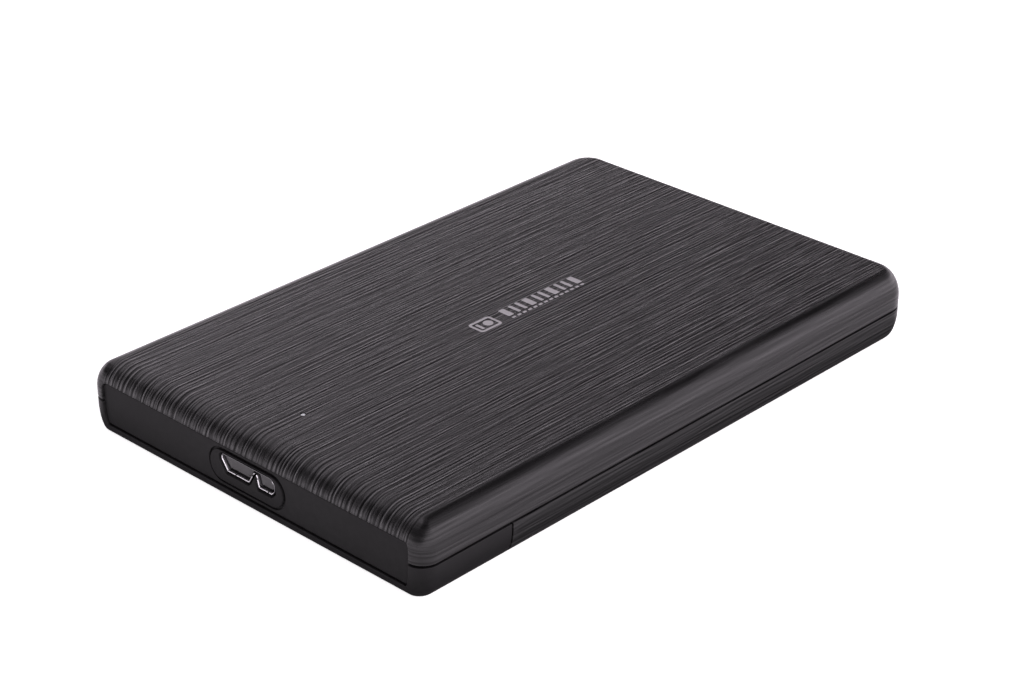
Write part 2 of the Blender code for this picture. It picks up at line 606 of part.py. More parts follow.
def actuator(frame):
    """The head arm on its pivot, with three arms, a coil in its tail and four head suspensions."""
    axis = empty("actuator_axis", (*PIVOT, 0), frame)
    middle = (0, 0)
    arm = post("actuator_arm", 6.6 * MM, (3.75 * MM, 8.5 * MM), middle, "aluminium", axis, steps=32)
    for i, (low, high) in enumerate(((3.73, 4.1), (5.8, 6.45), (8.15, 8.52))):
        outline = tapered(3 * MM, 21.5 * MM, 4.4 * MM, 2.4 * MM)
        join(arm, plate(f"arm_{i}", outline, (low * MM, high * MM), parent=axis))
    half, seat = radians(19.5), radians(16.6)
    tail = sector(4 * MM, 18.7 * MM, COIL_ANGLE - half, COIL_ANGLE + half)
    join(arm, plate("arm_tail", tail, (5.75 * MM, 6.43 * MM), parent=axis))
    hole = sector(9.1 * MM, 17.9 * MM, COIL_ANGLE - seat, COIL_ANGLE + seat)
    cut(arm, plate("coil_seat", hole, (5 * MM, 7 * MM), parent=axis))
    cut(arm, post("arm_bore", 2.6 * MM, (0, 10 * MM), middle, parent=axis, steps=32))
    wide, narrow = radians(16), radians(8)
    winding = sector(9.3 * MM, 17.7 * MM, COIL_ANGLE - wide, COIL_ANGLE + wide)
    coil = plate("voice_coil", winding, COIL_LEVELS, "copper", axis)
    core = sector(11.4 * MM, 15.6 * MM, COIL_ANGLE - narrow, COIL_ANGLE + narrow)
    cut(coil, plate("coil_core", core, (5 * MM, 7 * MM), parent=axis))
    suspensions(axis)


def suspensions(axis):
    """Four sprung plates. Each carries a head on its disk's side, and a tab that parks on the ramp."""
    plates = ((4.13, 4.2, 4.5), (5.67, 5.35, 5.7), (6.48, 6.55, 6.9), (8.02, 7.75, 8.05))
    for i, (low, head_low, head_high) in enumerate(plates):
        levels = (low * MM, (low + 0.1) * MM)
        spring = tapered(17.5 * MM, HEAD_REACH, 2.2 * MM, 0.5 * MM)
        made = plate(f"head_suspension_{i + 1}", spring, levels, "steel", axis)
        head = tapered(HEAD_REACH - 1.6 * MM, HEAD_REACH - 0.3 * MM, 0.45 * MM, 0.45 * MM)
        join(made, plate(f"head_{i}", head, (head_low * MM, head_high * MM), parent=axis))
        tab = tapered(HEAD_REACH - 0.2 * MM, HEAD_REACH + 1.9 * MM, 0.2 * MM, 0.2 * MM)
        join(made, plate(f"lift_tab_{i}", tab, (levels[0] + 0.02 * MM, levels[1] - 0.02 * MM), parent=axis))


def chamber_fittings(frame):
    """What stays still round the actuator: magnets, pivot, ramp, filter and flex circuit."""
    for name, levels in (("lower_yoke", (3.7, 4.5)), ("upper_yoke", (7.7, 8.5))):
        outline = sector(8.8 * MM, 19.4 * MM, radians(170), radians(264), 16, PIVOT)
        plate(name, outline, [z * MM for z in levels], "steel", frame)
    for name, levels in (("lower_magnet", (4.6, 5.4)), ("upper_magnet", (6.8, 7.6))):
        outline = sector(9.6 * MM, 18.2 * MM, radians(186), radians(248), 12, PIVOT)
        plate(name, outline, [z * MM for z in levels], "magnet", frame)
    for i, angle in enumerate((174.5, 259.5)):
        spot = ray(17 * MM, radians(angle), PIVOT)
        post(f"yoke_post_{i + 1}", 1.0 * MM, (4.55 * MM, 7.65 * MM), spot, "machined_steel", frame, 14)
    pivot = post("pivot_shaft", 2.5 * MM, (DECK + SEAT, 8.75 * MM), PIVOT, "machined_steel", frame, steps=32)
    cut(pivot, post("pivot_thread", 0.8 * MM, (6.9 * MM, 9.5 * MM), PIVOT, parent=frame, steps=12))
    block = sector(34.6 * MM, 38 * MM, radians(9), radians(22.2), 5, PIVOT)
    ramp = plate("parking_ramp", block, (DECK + SEAT, 8.5 * MM), "ivory_plastic", frame)
    for i, (low, high) in enumerate(((3.9, 4.45), (5.45, 6.0), (6.25, 6.8), (7.8, 8.35))):
        slot = sector(33 * MM, 36.9 * MM, radians(5), radians(26), 5, PIVOT)
        cut(ramp, plate(f"ramp_slot_{i}", slot, (low * MM, high * MM), parent=frame))
    fleece = rounded(26.5 * MM, 31.5 * MM, 35 * MM, 40 * MM, 0.8 * MM, steps=2)
    plate("recirculation_filter", fleece, (DECK + SEAT, 7.8 * MM), "filter_paper", frame)
    bracket = rounded(1 * MM, 21 * MM, 12 * MM, 20 * MM, 1 * MM, steps=2)
    plate("flex_bracket", bracket, (DECK + SEAT, 5.4 * MM), "black_plastic", frame)
    flex_cable(frame)


def inertia_latch(frame):
    """A lever on a pin beside the coil, with a short hook and a heavier tail."""
    post("latch_pin", 0.8 * MM, (DECK + SEAT, 6.4 * MM), LATCH_PIN, "machined_steel", frame, steps=16)
    axis = empty("latch_axis", (*LATCH_PIN, 0), frame)
    middle = (0, 0)
    latch = post("inertia_latch", 1.8 * MM, (5.0 * MM, 5.8 * MM), middle, "black_plastic", axis)
    for i, (length, half, degrees) in enumerate(((5.7, 0.7, -52), (5.2, 1.5, 138))):
        finger = tapered(0, length * MM, half * MM, half * MM, radians(degrees))
        join(latch, plate(f"latch_finger_{i}", finger, (5.05 * MM, 5.75 * MM), parent=axis))
    cut(latch, post("latch_bore", 0.88 * MM, (4 * MM, 7 * MM), middle, parent=axis, steps=16))


def flex_cable(frame):
    """The ribbon that loops from its bracket to just short of the head arm, standing on edge."""
    loop = arc((-1.6 * MM, 17.4 * MM), 4.6 * MM, radians(-60), radians(-190), 10)
    loop += [ray(7.2 * MM, radians(-32), PIVOT), ray(7.0 * MM, radians(-24), PIVOT)]
    line = [(0.8 * MM, 13.4 * MM)] + loop
    half = 0.07 * MM
    sides = []
    for i, (x, y) in enumerate(line):
        last_x, last_y = line[max(i - 1, 0)]
        next_x, next_y = line[min(i + 1, len(line) - 1)]
        angle = atan2(next_y - last_y, next_x - last_x)
        aside = (half * sin(angle), -half * cos(angle))
        sides.append(((x - aside[0], y - aside[1]), (x + aside[0], y + aside[1])))
    outline = [right for _, right in sides] + [left for left, _ in reversed(sides)]
    return plate("flex_cable", outline, (4.6 * MM, 7.6 * MM), "amber_film", frame)


# ---------------------------------------------------------------- assembly


def clear_scene():
    for obj in list(bpy.data.objects):
        bpy.data.objects.remove(obj)


def empty(name, location, parent=None):
    """An empty that its children move with, such as one on a joint's axis."""
    made = bpy.data.objects.new(name, None)
    bpy.context.scene.collection.objects.link(made)
    made.location = location
    made.parent = parent
    return made


def main():
    clear_scene()
    top_shell()
    front_base()
    sliding_cover()
    port_panel()
    usb_socket()
    bridge_board()
    sata_socket()
    rear_pad()
    frame = empty("drive_frame", (0, DRIVE_FRONT, DRIVE_HIGH))
    frame.rotation_euler = (0, pi, 0)
    drive_base(frame)
    drive_cover(frame)
    drive_electronics(frame)
    motor(frame)
    rotor(frame)
    actuator(frame)
    chamber_fittings(frame)
    inertia_latch(frame)


main()
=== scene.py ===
import json
from math import asin, atan2, cos, pi, radians, sin, tan

import bmesh
import bpy
import numpy as np
from mathutils import Matrix, Vector

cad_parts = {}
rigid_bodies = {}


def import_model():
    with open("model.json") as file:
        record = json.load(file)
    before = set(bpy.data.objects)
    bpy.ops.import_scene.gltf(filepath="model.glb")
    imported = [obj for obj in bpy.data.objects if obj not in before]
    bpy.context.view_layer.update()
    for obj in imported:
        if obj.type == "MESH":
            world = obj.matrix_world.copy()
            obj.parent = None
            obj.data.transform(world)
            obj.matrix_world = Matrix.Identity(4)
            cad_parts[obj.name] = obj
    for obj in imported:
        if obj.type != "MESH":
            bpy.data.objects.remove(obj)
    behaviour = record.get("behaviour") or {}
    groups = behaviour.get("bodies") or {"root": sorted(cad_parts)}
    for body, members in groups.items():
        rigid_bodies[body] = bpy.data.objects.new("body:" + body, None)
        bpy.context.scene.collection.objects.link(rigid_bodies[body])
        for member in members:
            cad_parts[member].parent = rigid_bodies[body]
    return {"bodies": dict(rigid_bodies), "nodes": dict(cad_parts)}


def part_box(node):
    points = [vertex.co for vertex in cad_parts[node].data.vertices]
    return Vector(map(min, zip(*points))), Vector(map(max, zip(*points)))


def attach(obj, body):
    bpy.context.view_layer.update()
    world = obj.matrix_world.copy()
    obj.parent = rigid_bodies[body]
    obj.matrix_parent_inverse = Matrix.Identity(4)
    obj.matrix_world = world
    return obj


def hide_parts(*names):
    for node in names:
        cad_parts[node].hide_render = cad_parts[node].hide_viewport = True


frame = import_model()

MM = 0.001

# Enclosure, as in the CAD apart from the sizes with a note that they differ
LENGTH = 125.0 * MM
WIDTH = 81.0 * MM
HEIGHT = 12.6 * MM
WALL = 1.6 * MM
FLOOR = 1.2 * MM
CEILING = HEIGHT - 1.2 * MM
FRONT = -LENGTH / 2
REAR = LENGTH / 2
FRONT_CORNER = 3.2 * MM
REAR_CORNER = 5.7 * MM
TOP_ROUND = 4.8 * MM
TOP_INSETS = (3.8 * MM, 4.9 * MM, 2.5 * MM)
BOTTOM_ROUND = 5.0 * MM
BOTTOM_INSETS = (1.8 * MM, 0.7 * MM, 1.8 * MM)
SEAM_Z = 5.95 * MM
SEAM_GAP = 0.4 * MM  # wider than in the CAD
LIP_LOW = SEAM_Z - 0.35 * MM
EDGE_ROUND = 0.14 * MM  # rounds the edges at the seam, which are sharp in the CAD
COVER_SEAM_Y = FRONT + 19.7 * MM

WINDOW_HALF = 37.15 * MM
WINDOW_LOW = 1.45 * MM
WINDOW_HIGH = 9.4 * MM
WINDOW_LEAN = 0.55 * MM
PANEL_GAP = 0.1 * MM
PANEL_FACE = FRONT + 0.45 * MM
PANEL_BACK = FRONT + 3.1 * MM
FLANGE_FACE = FRONT + 2.4 * MM
PAD_HALF = 8.85 * MM
PAD_X = -0.5 * MM
PAD_RADIUS = 2.8 * MM
PAD_Z = 5.55 * MM
PAD_RISE = 0.2 * MM
GROOVE = 0.45 * MM
SOCKET_ROUND = (0.42 * MM, 0.2 * MM)  # corners that stick out, and corners that go in
SOCKET_BACK = FRONT + 7.2 * MM
SOCKET_WALL = 0.24 * MM  # thinner than in the CAD

BAY_HALF = 35.3 * MM
SKIRT = 1.2 * MM
SKIRT_LOW = 2.6 * MM
TONGUE = (3.4 * MM, 4.2 * MM)
HOOK = (4.5 * MM, 5.4 * MM)
HOOK_TIP = 37.0 * MM
BOARD = (8.05 * MM, 9.05 * MM)
BOARD_SCREW = (26.0 * MM, FRONT + 8.5 * MM)
SNAP_Y = (FRONT + 5 * MM, FRONT + 13 * MM)
LIGHT_Y = FRONT + 12.6 * MM
LIGHT_RADIUS = 0.4 * MM  # this and its hole are smaller than in the CAD
LIGHT_HOLE = 0.52 * MM
SEAT = 0.05 * MM

# Moulded hairlines
GRID = 0.2 * MM  # spacing of the top shell's mesh across the hairlines
BASE_GRID = 0.3 * MM  # the same below the seam
GRID_ALONG = 2.5 * MM  # its spacing along them
SIDES_APART = 0.2  # how far apart in the noise the two sides are, so that they differ
CREASE = (36.0 * MM, 37.4 * MM)  # the hairlines of the top give way here to those of the sides
TOP_LINES = (1.0, 0.2)  # how deep the hairlines are pressed over the top, and beside it
BASE_LINES = (0.25, 0.25)
COVER_LINES = (1.0, 0.6)

# Camera
AZIMUTH, ELEVATION, ROLL = radians(43.72), radians(27.94), radians(-0.069)
DISTANCE = 450.34 * MM
AIM = (-0.423 * MM, 4.627 * MM)  # where the middle of the view is, across and up from the origin
LENS, SENSOR = 88.99, 36.0

# Studio
CAST = (1.0, 0.92, 1.0, 1.0)  # colour of the light
FLOOR_HALF = 4.0
FLOOR_Z = -0.2 * MM
MIRROR_Z = -0.4 * MM
SHADE_REACH = 9 * MM  # how far the drive shades the floor that its plastic mirrors
SHADE = (0.12, 1.02)  # that floor's level beside the drive, and beyond its shade
LEFT_LIGHT = (1.32, 0.24)  # its level in front, and at the rear
RIGHT_LIGHT = 2.4
WALL_LIGHT = 2.1
GAP_LIGHT = 0.01
LIGHT_TURN = 0.4  # how far the lights' edges turn from north towards the north-west
WALL_DIP = 0.15  # how far the wall's edge sinks towards the rear

rng = np.random.default_rng(7)

kept = set(frame["nodes"].values()) | set(frame["bodies"].values())
for stray in [o for o in bpy.data.objects if o not in kept]:
    bpy.data.objects.remove(stray)
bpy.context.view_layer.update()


# ---------------------------------------------------------------- outlines


def arc(centre, radius, start, end, steps):
    return [
        (centre[0] + radius * cos(start + (end - start) * i / steps),
         centre[1] + radius * sin(start + (end - start) * i / steps))
        for i in range(steps + 1)
    ]


def rounded(left, right, low, high, radius, steps=8):
    corners = (
        ((right - radius, low + radius), -pi / 2),
        ((right - radius, high - radius), 0),
        ((left + radius, high - radius), pi / 2),
        ((left + radius, low + radius), pi),
    )
    return [p for centre, a in corners for p in arc(centre, radius, a, a + pi / 2, steps)]


def rectangle(left, right, low, high):
    return [(left, low), (right, low), (right, high), (left, high)]


def turn_at(outline, i):
    """The heading of the edge before a corner, and how far the outline turns left there."""
    (ax, ay), (bx, by), (cx, cy) = outline[i - 1], outline[i], outline[(i + 1) % len(outline)]
    before = atan2(by - ay, bx - ax)
    return before, (atan2(cy - by, cx - bx) - before + pi) % (2 * pi) - pi


def grown(outline, by):
    """The outline moved outwards by a distance; it has to run counter-clockwise."""
    moved = []
    for i, (x, y) in enumerate(outline):
        before, turn = turn_at(outline, i)
        reach = by / cos(turn / 2)
        facing = before + turn / 2 - pi / 2
        moved.append((x + reach * cos(facing), y + reach * sin(facing)))
    return moved


def softened(outline, radius, hollow_radius):
    """The outline with its corners rounded: the ones that stick out, and the ones that go in."""
    soft = []
    for i, (x, y) in enumerate(outline):
        before, turn = turn_at(outline, i)
        r = radius if turn > 0 else hollow_radius
        back = r * tan(abs(turn) / 2)
        start = (x - back * cos(before), y - back * sin(before))
        side = 1 if turn > 0 else -1
        centre = (start[0] - side * r * sin(before), start[1] + side * r * cos(before))
        first = before - side * pi / 2
        soft += arc(centre, r, first, first + turn, 5)
    return soft


# ---------------------------------------------------------------- solids


def made(name, mesh, angle=35):
    mesh.shade_smooth()
    mesh.set_sharp_from_angle(angle=radians(angle))
    obj = bpy.data.objects.new(name, mesh)
    bpy.context.scene.collection.objects.link(obj)
    return obj


def from_bmesh(name, bm, angle=35):
    bmesh.ops.recalc_face_normals(bm, faces=bm.faces)
    if bm.calc_volume(signed=True) < 0:
        bmesh.ops.reverse_faces(bm, faces=bm.faces)
    mesh = bpy.data.meshes.new(name)
    bm.to_mesh(mesh)
    bm.free()
    return made(name, mesh, angle)


def loft(name, rings, angle=35):
    """A closed solid through rings of equal length, with flat ends."""
    bm = bmesh.new()
    loops = [[bm.verts.new(p) for p in ring] for ring in rings]
    for low, high in zip(loops, loops[1:]):
        for i in range(len(low)):
            j = (i + 1) % len(low)
            bm.faces.new((low[i], low[j], high[j], high[i]))
    bm.faces.new(list(reversed(loops[0])))
    bm.faces.new(loops[-1])
    return from_bmesh(name, bm, angle)


def plate(name, outline, levels):
    return loft(name, [[(x, y, z) for x, y in outline] for z in levels])


def sleeve(name, pairs, angle=35):
    """A solid through (outline, depth) pairs, the outlines in x and z."""
    return loft(name, [[(x, y, z) for x, z in shape] for shape, y in pairs], angle)


def bar(name, outline, depths):
    return sleeve(name, [(outline, y) for y in depths])


def soft_bar(name, outline, back, face, edge):
    """A bar from back to the face in front of it, with the edge of its face rounded."""
    pairs = [(outline, back)]
    for a in np.linspace(0, pi / 2, 4):
        pairs.append((grown(outline, -edge * (1 - cos(a))), face + edge * (1 - sin(a))))
    return sleeve(name, pairs, 50)


def turned(name, profile, centre, steps):
    """A closed profile of (radius, height) turned about a vertical axis through centre."""
    bm = bmesh.new()
    x0, y0 = centre
    columns = []
    for radius, z in profile:
        if radius == 0:
            columns.append([bm.verts.new((x0, y0, z))] * steps)
        else:
            ring = arc((x0, y0), radius, 0, 2 * pi, steps)[:-1]
            columns.append([bm.verts.new((x, y, z)) for x, y in ring])
    for a, b in zip(columns, columns[1:] + columns[:1]):
        for i in range(steps):
            j = (i + 1) % steps
            corners = list(dict.fromkeys((a[i], a[j], b[j], b[i])))
            if len(corners) > 2:
                bm.faces.new(corners)
    return from_bmesh(name, bm, 40)


def post(name, radius, levels, centre):
    low, high = levels
    return turned(name, [(0, low), (radius, low), (radius, high), (0, high)], centre, 24)


def boolean(obj, tools, operation):
    """Applies a Boolean with each tool in turn, and removes the tools."""
    for tool in tools:
        modifier = obj.modifiers.new("Shape", "BOOLEAN")
        modifier.operation = operation
        modifier.solver = "MANIFOLD"
        modifier.object = tool
        shaped = obj.evaluated_get(bpy.context.evaluated_depsgraph_get())
        mesh = bpy.data.meshes.new_from_object(shaped)
        obj.modifiers.clear()
        obj.data = mesh
        bpy.data.objects.remove(tool)
    return obj


def cut(obj, *tools):
    return boolean(obj, tools, "DIFFERENCE")


def join(obj, *tools):
    return boolean(obj, tools, "UNION")


def sharpen(obj, angle=35):
    obj.data.shade_smooth()
    obj.data.set_sharp_from_angle(angle=radians(angle))
    return obj


# ---------------------------------------------------------------- hairlines


def smooth(t):
    return t * t * (3 - 2 * t)


def ease(value, start, end):
    return smooth(np.clip((value - start) / (end - start), 0, 1))


def wander(across, along, pitch, length):
    """Smooth noise from -1 to 1 that changes every pitch across and every length along.
    Neighbouring columns are out of step, so that the lines start and stop apart."""
    cell = np.floor(across / pitch).astype(int)
    part = smooth(across / pitch - cell)
    cell -= cell.min()
    rows = 97  # after this many lengths the noise repeats
    heights = rng.uniform(-1, 1, (cell.max() + 2, rows))
    shift = rng.uniform(0, rows, cell.max() + 2)

    def column(c):
        place = along / length + shift[c]
        row = np.floor(place).astype(int)
        rest = smooth(place - row)
        return heights[c, row % rows] * (1 - rest) + heights[c, (row + 1) % rows] * rest

    return column(cell) * (1 - part) + column(cell + 1) * part


def lines(across, along, strength):
    """Depth of the hairlines, in metres: broad waves, finer lines, and a few deeper scratches."""
    broad = wander(across, along, 0.85 * MM, 26 * MM)
    fine = wander(across, along, 0.42 * MM, 15 * MM)
    rare = 0.55
    scratch = np.maximum(0, wander(across, along, 0.5 * MM, 20 * MM) - rare) / (1 - rare)
    return strength * MM * (0.02 + 0.005 * broad + 0.013 * fine + 0.015 * scratch)


def hairlines(points, strength, side_strength):
    """Depth of the hairlines at points on the shell. They run along Y, and down the front and the rear."""
    x, y, z = points.T
    over = lines(x, y + z, strength)
    beside = lines(z + np.sign(x) * SIDES_APART, y, side_strength)
    share = ease(np.abs(x), CREASE[0], CREASE[1])
    return over * (1 - share) + beside * share


# ---------------------------------------------------------------- shell skins


def draw_in(z):
    """How far the outside draws in at a height: at the sides, the front and the rear."""
    if z > HEIGHT - TOP_ROUND:
        share = 1 - cos(asin(min(1, (z - HEIGHT + TOP_ROUND) / TOP_ROUND)))
        return [share * inset for inset in TOP_INSETS]
    if z < BOTTOM_ROUND:
        share = 1 - cos(asin(min(1, (BOTTOM_ROUND - z) / BOTTOM_ROUND)))
        return [share * inset for inset in BOTTOM_INSETS]
    return [0, 0, 0]


def ring_form(z, wall):
    """Half width, front, rear and the two corner radii of the shell's outline at a height."""
    side, front, rear = (inset + wall for inset in draw_in(z))
    front_radius = max(FRONT_CORNER - (side + front) / 2, 0.8 * MM)
    rear_radius = max(REAR_CORNER - (side + rear) / 2, 1.2 * MM)
    return WIDTH / 2 - side, FRONT + front, REAR - rear, front_radius, rear_radius


def body_ring(z, wall=0.0):
    half, front, rear, front_radius, rear_radius = ring_form(z, wall)
    outline = arc((half - front_radius, front + front_radius), front_radius, -pi / 2, 0, 8)
    outline += arc((half - rear_radius, rear - rear_radius), rear_radius, 0, pi / 2, 8)
    return [(x, y, z) for x, y in outline + [(-x, y) for x, y in reversed(outline)]]


def side_points(z, wall, spots, corner):
    """Points up the right side, from the end of the front row to the end of the rear row."""
    half, front, rear, front_radius, rear_radius = ring_form(z, wall)
    points = arc((half - front_radius, front + front_radius), front_radius, -pi / 2, 0, corner)
    low, high = front + front_radius, rear - rear_radius
    points += [(half, low + (high - low) * s) for s in spots[1:-1]]
    return points + arc((half - rear_radius, rear - rear_radius), rear_radius, 0, pi / 2, corner)


def skin(name, levels, across, downwards, strength):
    """A shell's outside as one closed solid: a fine flat grid, then a ring for each (height, inset) level,
    with the hairlines pressed into it. The last ring is closed with a flat face."""
    columns = np.linspace(-1, 1, round(WIDTH / across) + 1)
    spots = np.linspace(0, 1, round(LENGTH / GRID_ALONG) + 1)
    sides = [side_points(z, wall, spots, 12) for z, wall in levels]
    high = len(sides[0])
    wide = len(columns)
    side = np.array(sides[0])
    grid = np.zeros((high, wide, 3))
    grid[:, :, 0] = side[:, :1] * columns
    grid[:, :, 1] = side[:, 1:]
    grid[:, :, 2] = levels[0][0]
    number = np.arange(high * wide).reshape(high, wide)
    corners = [number[:-1, :-1], number[:-1, 1:], number[1:, 1:], number[1:, :-1]]
    quads = [np.stack(corners, -1).reshape(-1, 4)]
    ring = np.concatenate([number[:, -1], number[-1, -2:0:-1], number[::-1, 0], number[0, 1:-1]])
    points = [grid.reshape(-1, 3)]
    count = high * wide
    for (z, _), line in zip(levels[1:], sides[1:]):
        right = np.array(line)
        rear = np.stack([columns[-2:0:-1] * right[-1, 0], np.full(wide - 2, right[-1, 1])], -1)
        left = right[::-1] * (-1, 1)
        front = np.stack([columns[1:-1] * right[0, 0], np.full(wide - 2, right[0, 1])], -1)
        flat = np.concatenate([right, rear, left, front])
        points.append(np.column_stack([flat, np.full(len(flat), z)]))
        below = np.arange(count, count + len(flat))
        count += len(flat)
        quads.append(np.stack([ring, below, np.roll(below, -1), np.roll(ring, -1)], -1))
        ring = below
    points = np.concatenate(points)
    quads = np.concatenate(quads)
    if not downwards:
        quads = quads[:, ::-1]
    mesh = bpy.data.meshes.new(name)
    mesh.from_pydata(points.tolist(), [], quads.tolist())
    facing = np.zeros(len(points) * 3)
    mesh.vertex_normals.foreach_get("vector", facing)
    fading = ease(np.abs(points[:, 2] - SEAM_Z), 0.2 * MM, 0.5 * MM)  # the seam's edges stay straight
    depth = hairlines(points, *strength) * fading
    points = points - facing.reshape(-1, 3) * depth[:, None]
    cap = ring if not downwards else ring[::-1]
    bpy.data.meshes.remove(mesh)
    mesh = bpy.data.meshes.new(name)
    mesh.from_pydata(points.tolist(), [], quads.tolist() + [cap.tolist()])
    mesh.validate()
    return made(name, mesh)


def rim(z, away):
    """Levels that round the shell's edge at the seam; away is 1 if the shell is above it."""
    angles = np.linspace(0, pi / 2, 4)
    return [(z + away * EDGE_ROUND * (1 - sin(a)), EDGE_ROUND * (1 - cos(a))) for a in angles]


def window_outline(gap=0.0, low_gap=0.0):
    """The window for the socket panel, in x and z: its sides lean in towards the bottom."""
    low, high, half = WINDOW_LOW + low_gap, WINDOW_HIGH - gap, WINDOW_HALF - gap
    foot, low_corner, corner = half - WINDOW_LEAN, 0.5 * MM, 1.0 * MM
    right = arc((foot - low_corner, low + low_corner), low_corner, -pi / 2, radians(-6), 8)
    right += [(half - 0.12 * MM, low + 2.3 * MM), (half, SEAM_Z)]
    right += arc((half - corner, high - corner), corner, 0, pi / 2, 8)
    return right + [(-x, z) for x, z in reversed(right)]


def window(name):
    """A cutter for the window, whose mouth follows the curved front and breaks its edge."""
    rings = []
    for wider, out in ((0, -3.0), (0, -0.16), (0.05, -0.05), (0.16, 0), (0.7, 0.54)):
        shape = grown(window_outline(), wider * MM)
        rings.append([(x, FRONT + draw_in(z)[1] - out * MM, z) for x, z in shape])
    return loft(name, rings)


def fillet_levels(height, away, steps):
    """Heights down (or up) a rounding, from its flat end to the straight wall."""
    start = HEIGHT if away < 0 else 0.0
    return [(start + away * height * (1 - cos(a)), 0.0) for a in np.linspace(0, pi / 2, steps + 1)]


def top_shell():
    low = SEAM_Z + SEAM_GAP / 2
    levels = fillet_levels(TOP_ROUND, -1, 22)
    levels += [(z, 0.0) for z in np.linspace(HEIGHT - TOP_ROUND, low + 0.2 * MM, 6)[1:]]
    levels += rim(low, 1)
    shell = skin("enclosure_top_shell", levels, GRID, True, TOP_LINES)
    hollow = [body_ring(z, WALL) for z in (low - 1 * MM, 8.4 * MM, 10.2 * MM, CEILING)]
    cut(shell, loft("top_hollow", hollow))
    lip_top = SEAM_Z + 0.5 * MM
    lip = loft("seam_lip", [body_ring(z, WALL + 0.1 * MM) for z in (LIP_LOW, SEAM_Z + 0.25 * MM)])
    join(lip, loft("lip_root", [body_ring(z, WALL - 0.3 * MM) for z in (SEAM_Z + 0.2 * MM, lip_top)]))
    inside = [body_ring(z, WALL + 0.7 * MM) for z in (LIP_LOW - 1 * MM, lip_top + 0.5 * MM)]
    cut(lip, loft("lip_inside", inside))
    cut(join(shell, lip), window("top_window"))
    for side in (-1, 1):
        inner, outer = side * BAY_HALF, side * (BAY_HALF + SKIRT)
        rail = rectangle(min(inner, outer), max(inner, outer), COVER_SEAM_Y + 1 * MM, REAR - 3.5 * MM)
        skirt = plate("skirt", rail, (SKIRT_LOW, CEILING + 0.4 * MM))
        reach = side * (BAY_HALF + SKIRT + 1.6 * MM)
        ledge = rectangle(min(inner, reach), max(inner, reach), COVER_SEAM_Y + 1.5 * MM, REAR - 4 * MM)
        join(skirt, plate("tongue", ledge, TONGUE))
        spot = (side * BOARD_SCREW[0], BOARD_SCREW[1])
        boss = post("boss", 2.4 * MM, (BOARD[1] + SEAT, CEILING + 0.4 * MM), spot)
        hole = post("boss_hole", 0.85 * MM, (BOARD[1] - 1 * MM, CEILING - 0.2 * MM), spot)
        cut(join(shell, skirt, boss), hole)
    mouth = LIGHT_HOLE + 0.06 * MM
    light = [(0, CEILING - 1 * MM), (LIGHT_HOLE, CEILING - 1 * MM), (LIGHT_HOLE, HEIGHT - 0.08 * MM),
             (mouth, HEIGHT), (mouth + 1 * MM, HEIGHT + 1 * MM), (0, HEIGHT + 1 * MM)]
    cut(shell, turned("light_hole", light, (0, LIGHT_Y), 32))
    return sharpen(shell)


def lower_tray(name, front, rear, strength):
    """The stretch of the tray below the seam between two places along Y."""
    top = SEAM_Z - SEAM_GAP / 2
    levels = fillet_levels(BOTTOM_ROUND, 1, 20)
    levels += [(z, 0.0) for z in np.linspace(BOTTOM_ROUND, top - 0.2 * MM, 4)[1:]]
    levels += rim(top, -1)
    tray = skin(name, levels, BASE_GRID, False, strength)
    stretch = plate("stretch", rectangle(-WIDTH, WIDTH, front, rear), (-5 * MM, HEIGHT))
    boolean(tray, [stretch], "INTERSECT")
    hollow = [body_ring(z, WALL) for z in (FLOOR, 2.4 * MM, 4.2 * MM, SEAM_Z + 1 * MM)]
    return cut(tray, loft("tray_hollow", hollow))


def front_base():
    base = lower_tray("enclosure_front_base", FRONT - 5 * MM, COVER_SEAM_Y - SEAM_GAP / 2, BASE_LINES)
    cut(base, window("base_window"))
    for side in (-1, 1):
        inner, outer, root = side * 36.8 * MM, side * 37.95 * MM, side * 39.6 * MM
        snap = rectangle(min(inner, outer), max(inner, outer), *SNAP_Y)
        clip = plate("snap", snap, (FLOOR - 0.5 * MM, 8.2 * MM))
        foot = rectangle(min(inner, root), max(inner, root), *SNAP_Y)
        join(base, join(clip, plate("snap_foot", foot, (2.6 * MM, 4.8 * MM))))
    return sharpen(base)


def sliding_cover():
    cover = lower_tray("enclosure_sliding_cover", COVER_SEAM_Y + SEAM_GAP / 2, REAR + 5 * MM, COVER_LINES)
    for side in (-1, 1):
        tip, root = side * HOOK_TIP, side * (WIDTH / 2 - 0.9 * MM)
        hook = rectangle(min(tip, root), max(tip, root), COVER_SEAM_Y + 0.5 * MM, REAR - 6 * MM)
        join(cover, plate("hook", hook, HOOK))
    return sharpen(cover)


# ---------------------------------------------------------------- socket end


def socket_outline():
    """The outside of a USB micro-B SuperSpeed socket, in x and z: two bays with a notch between them."""
    points = [
        (-5.1, 4.9), (0.2, 4.9), (1.5, 7.05), (1.95, 7.05), (2.5, 4.9), (5.7, 4.9),
        (6.5, 5.7), (6.5, 6.9), (5.6, 7.95), (-6.1, 7.95), (-6.5, 7.5), (-6.5, 6.8),
    ]
    return softened([(x * MM, z * MM) for x, z in points], *SOCKET_ROUND)


def pill(half, radius):
    return rounded(PAD_X - half, PAD_X + half, PAD_Z - radius, PAD_Z + radius, radius - 0.01 * MM, 16)


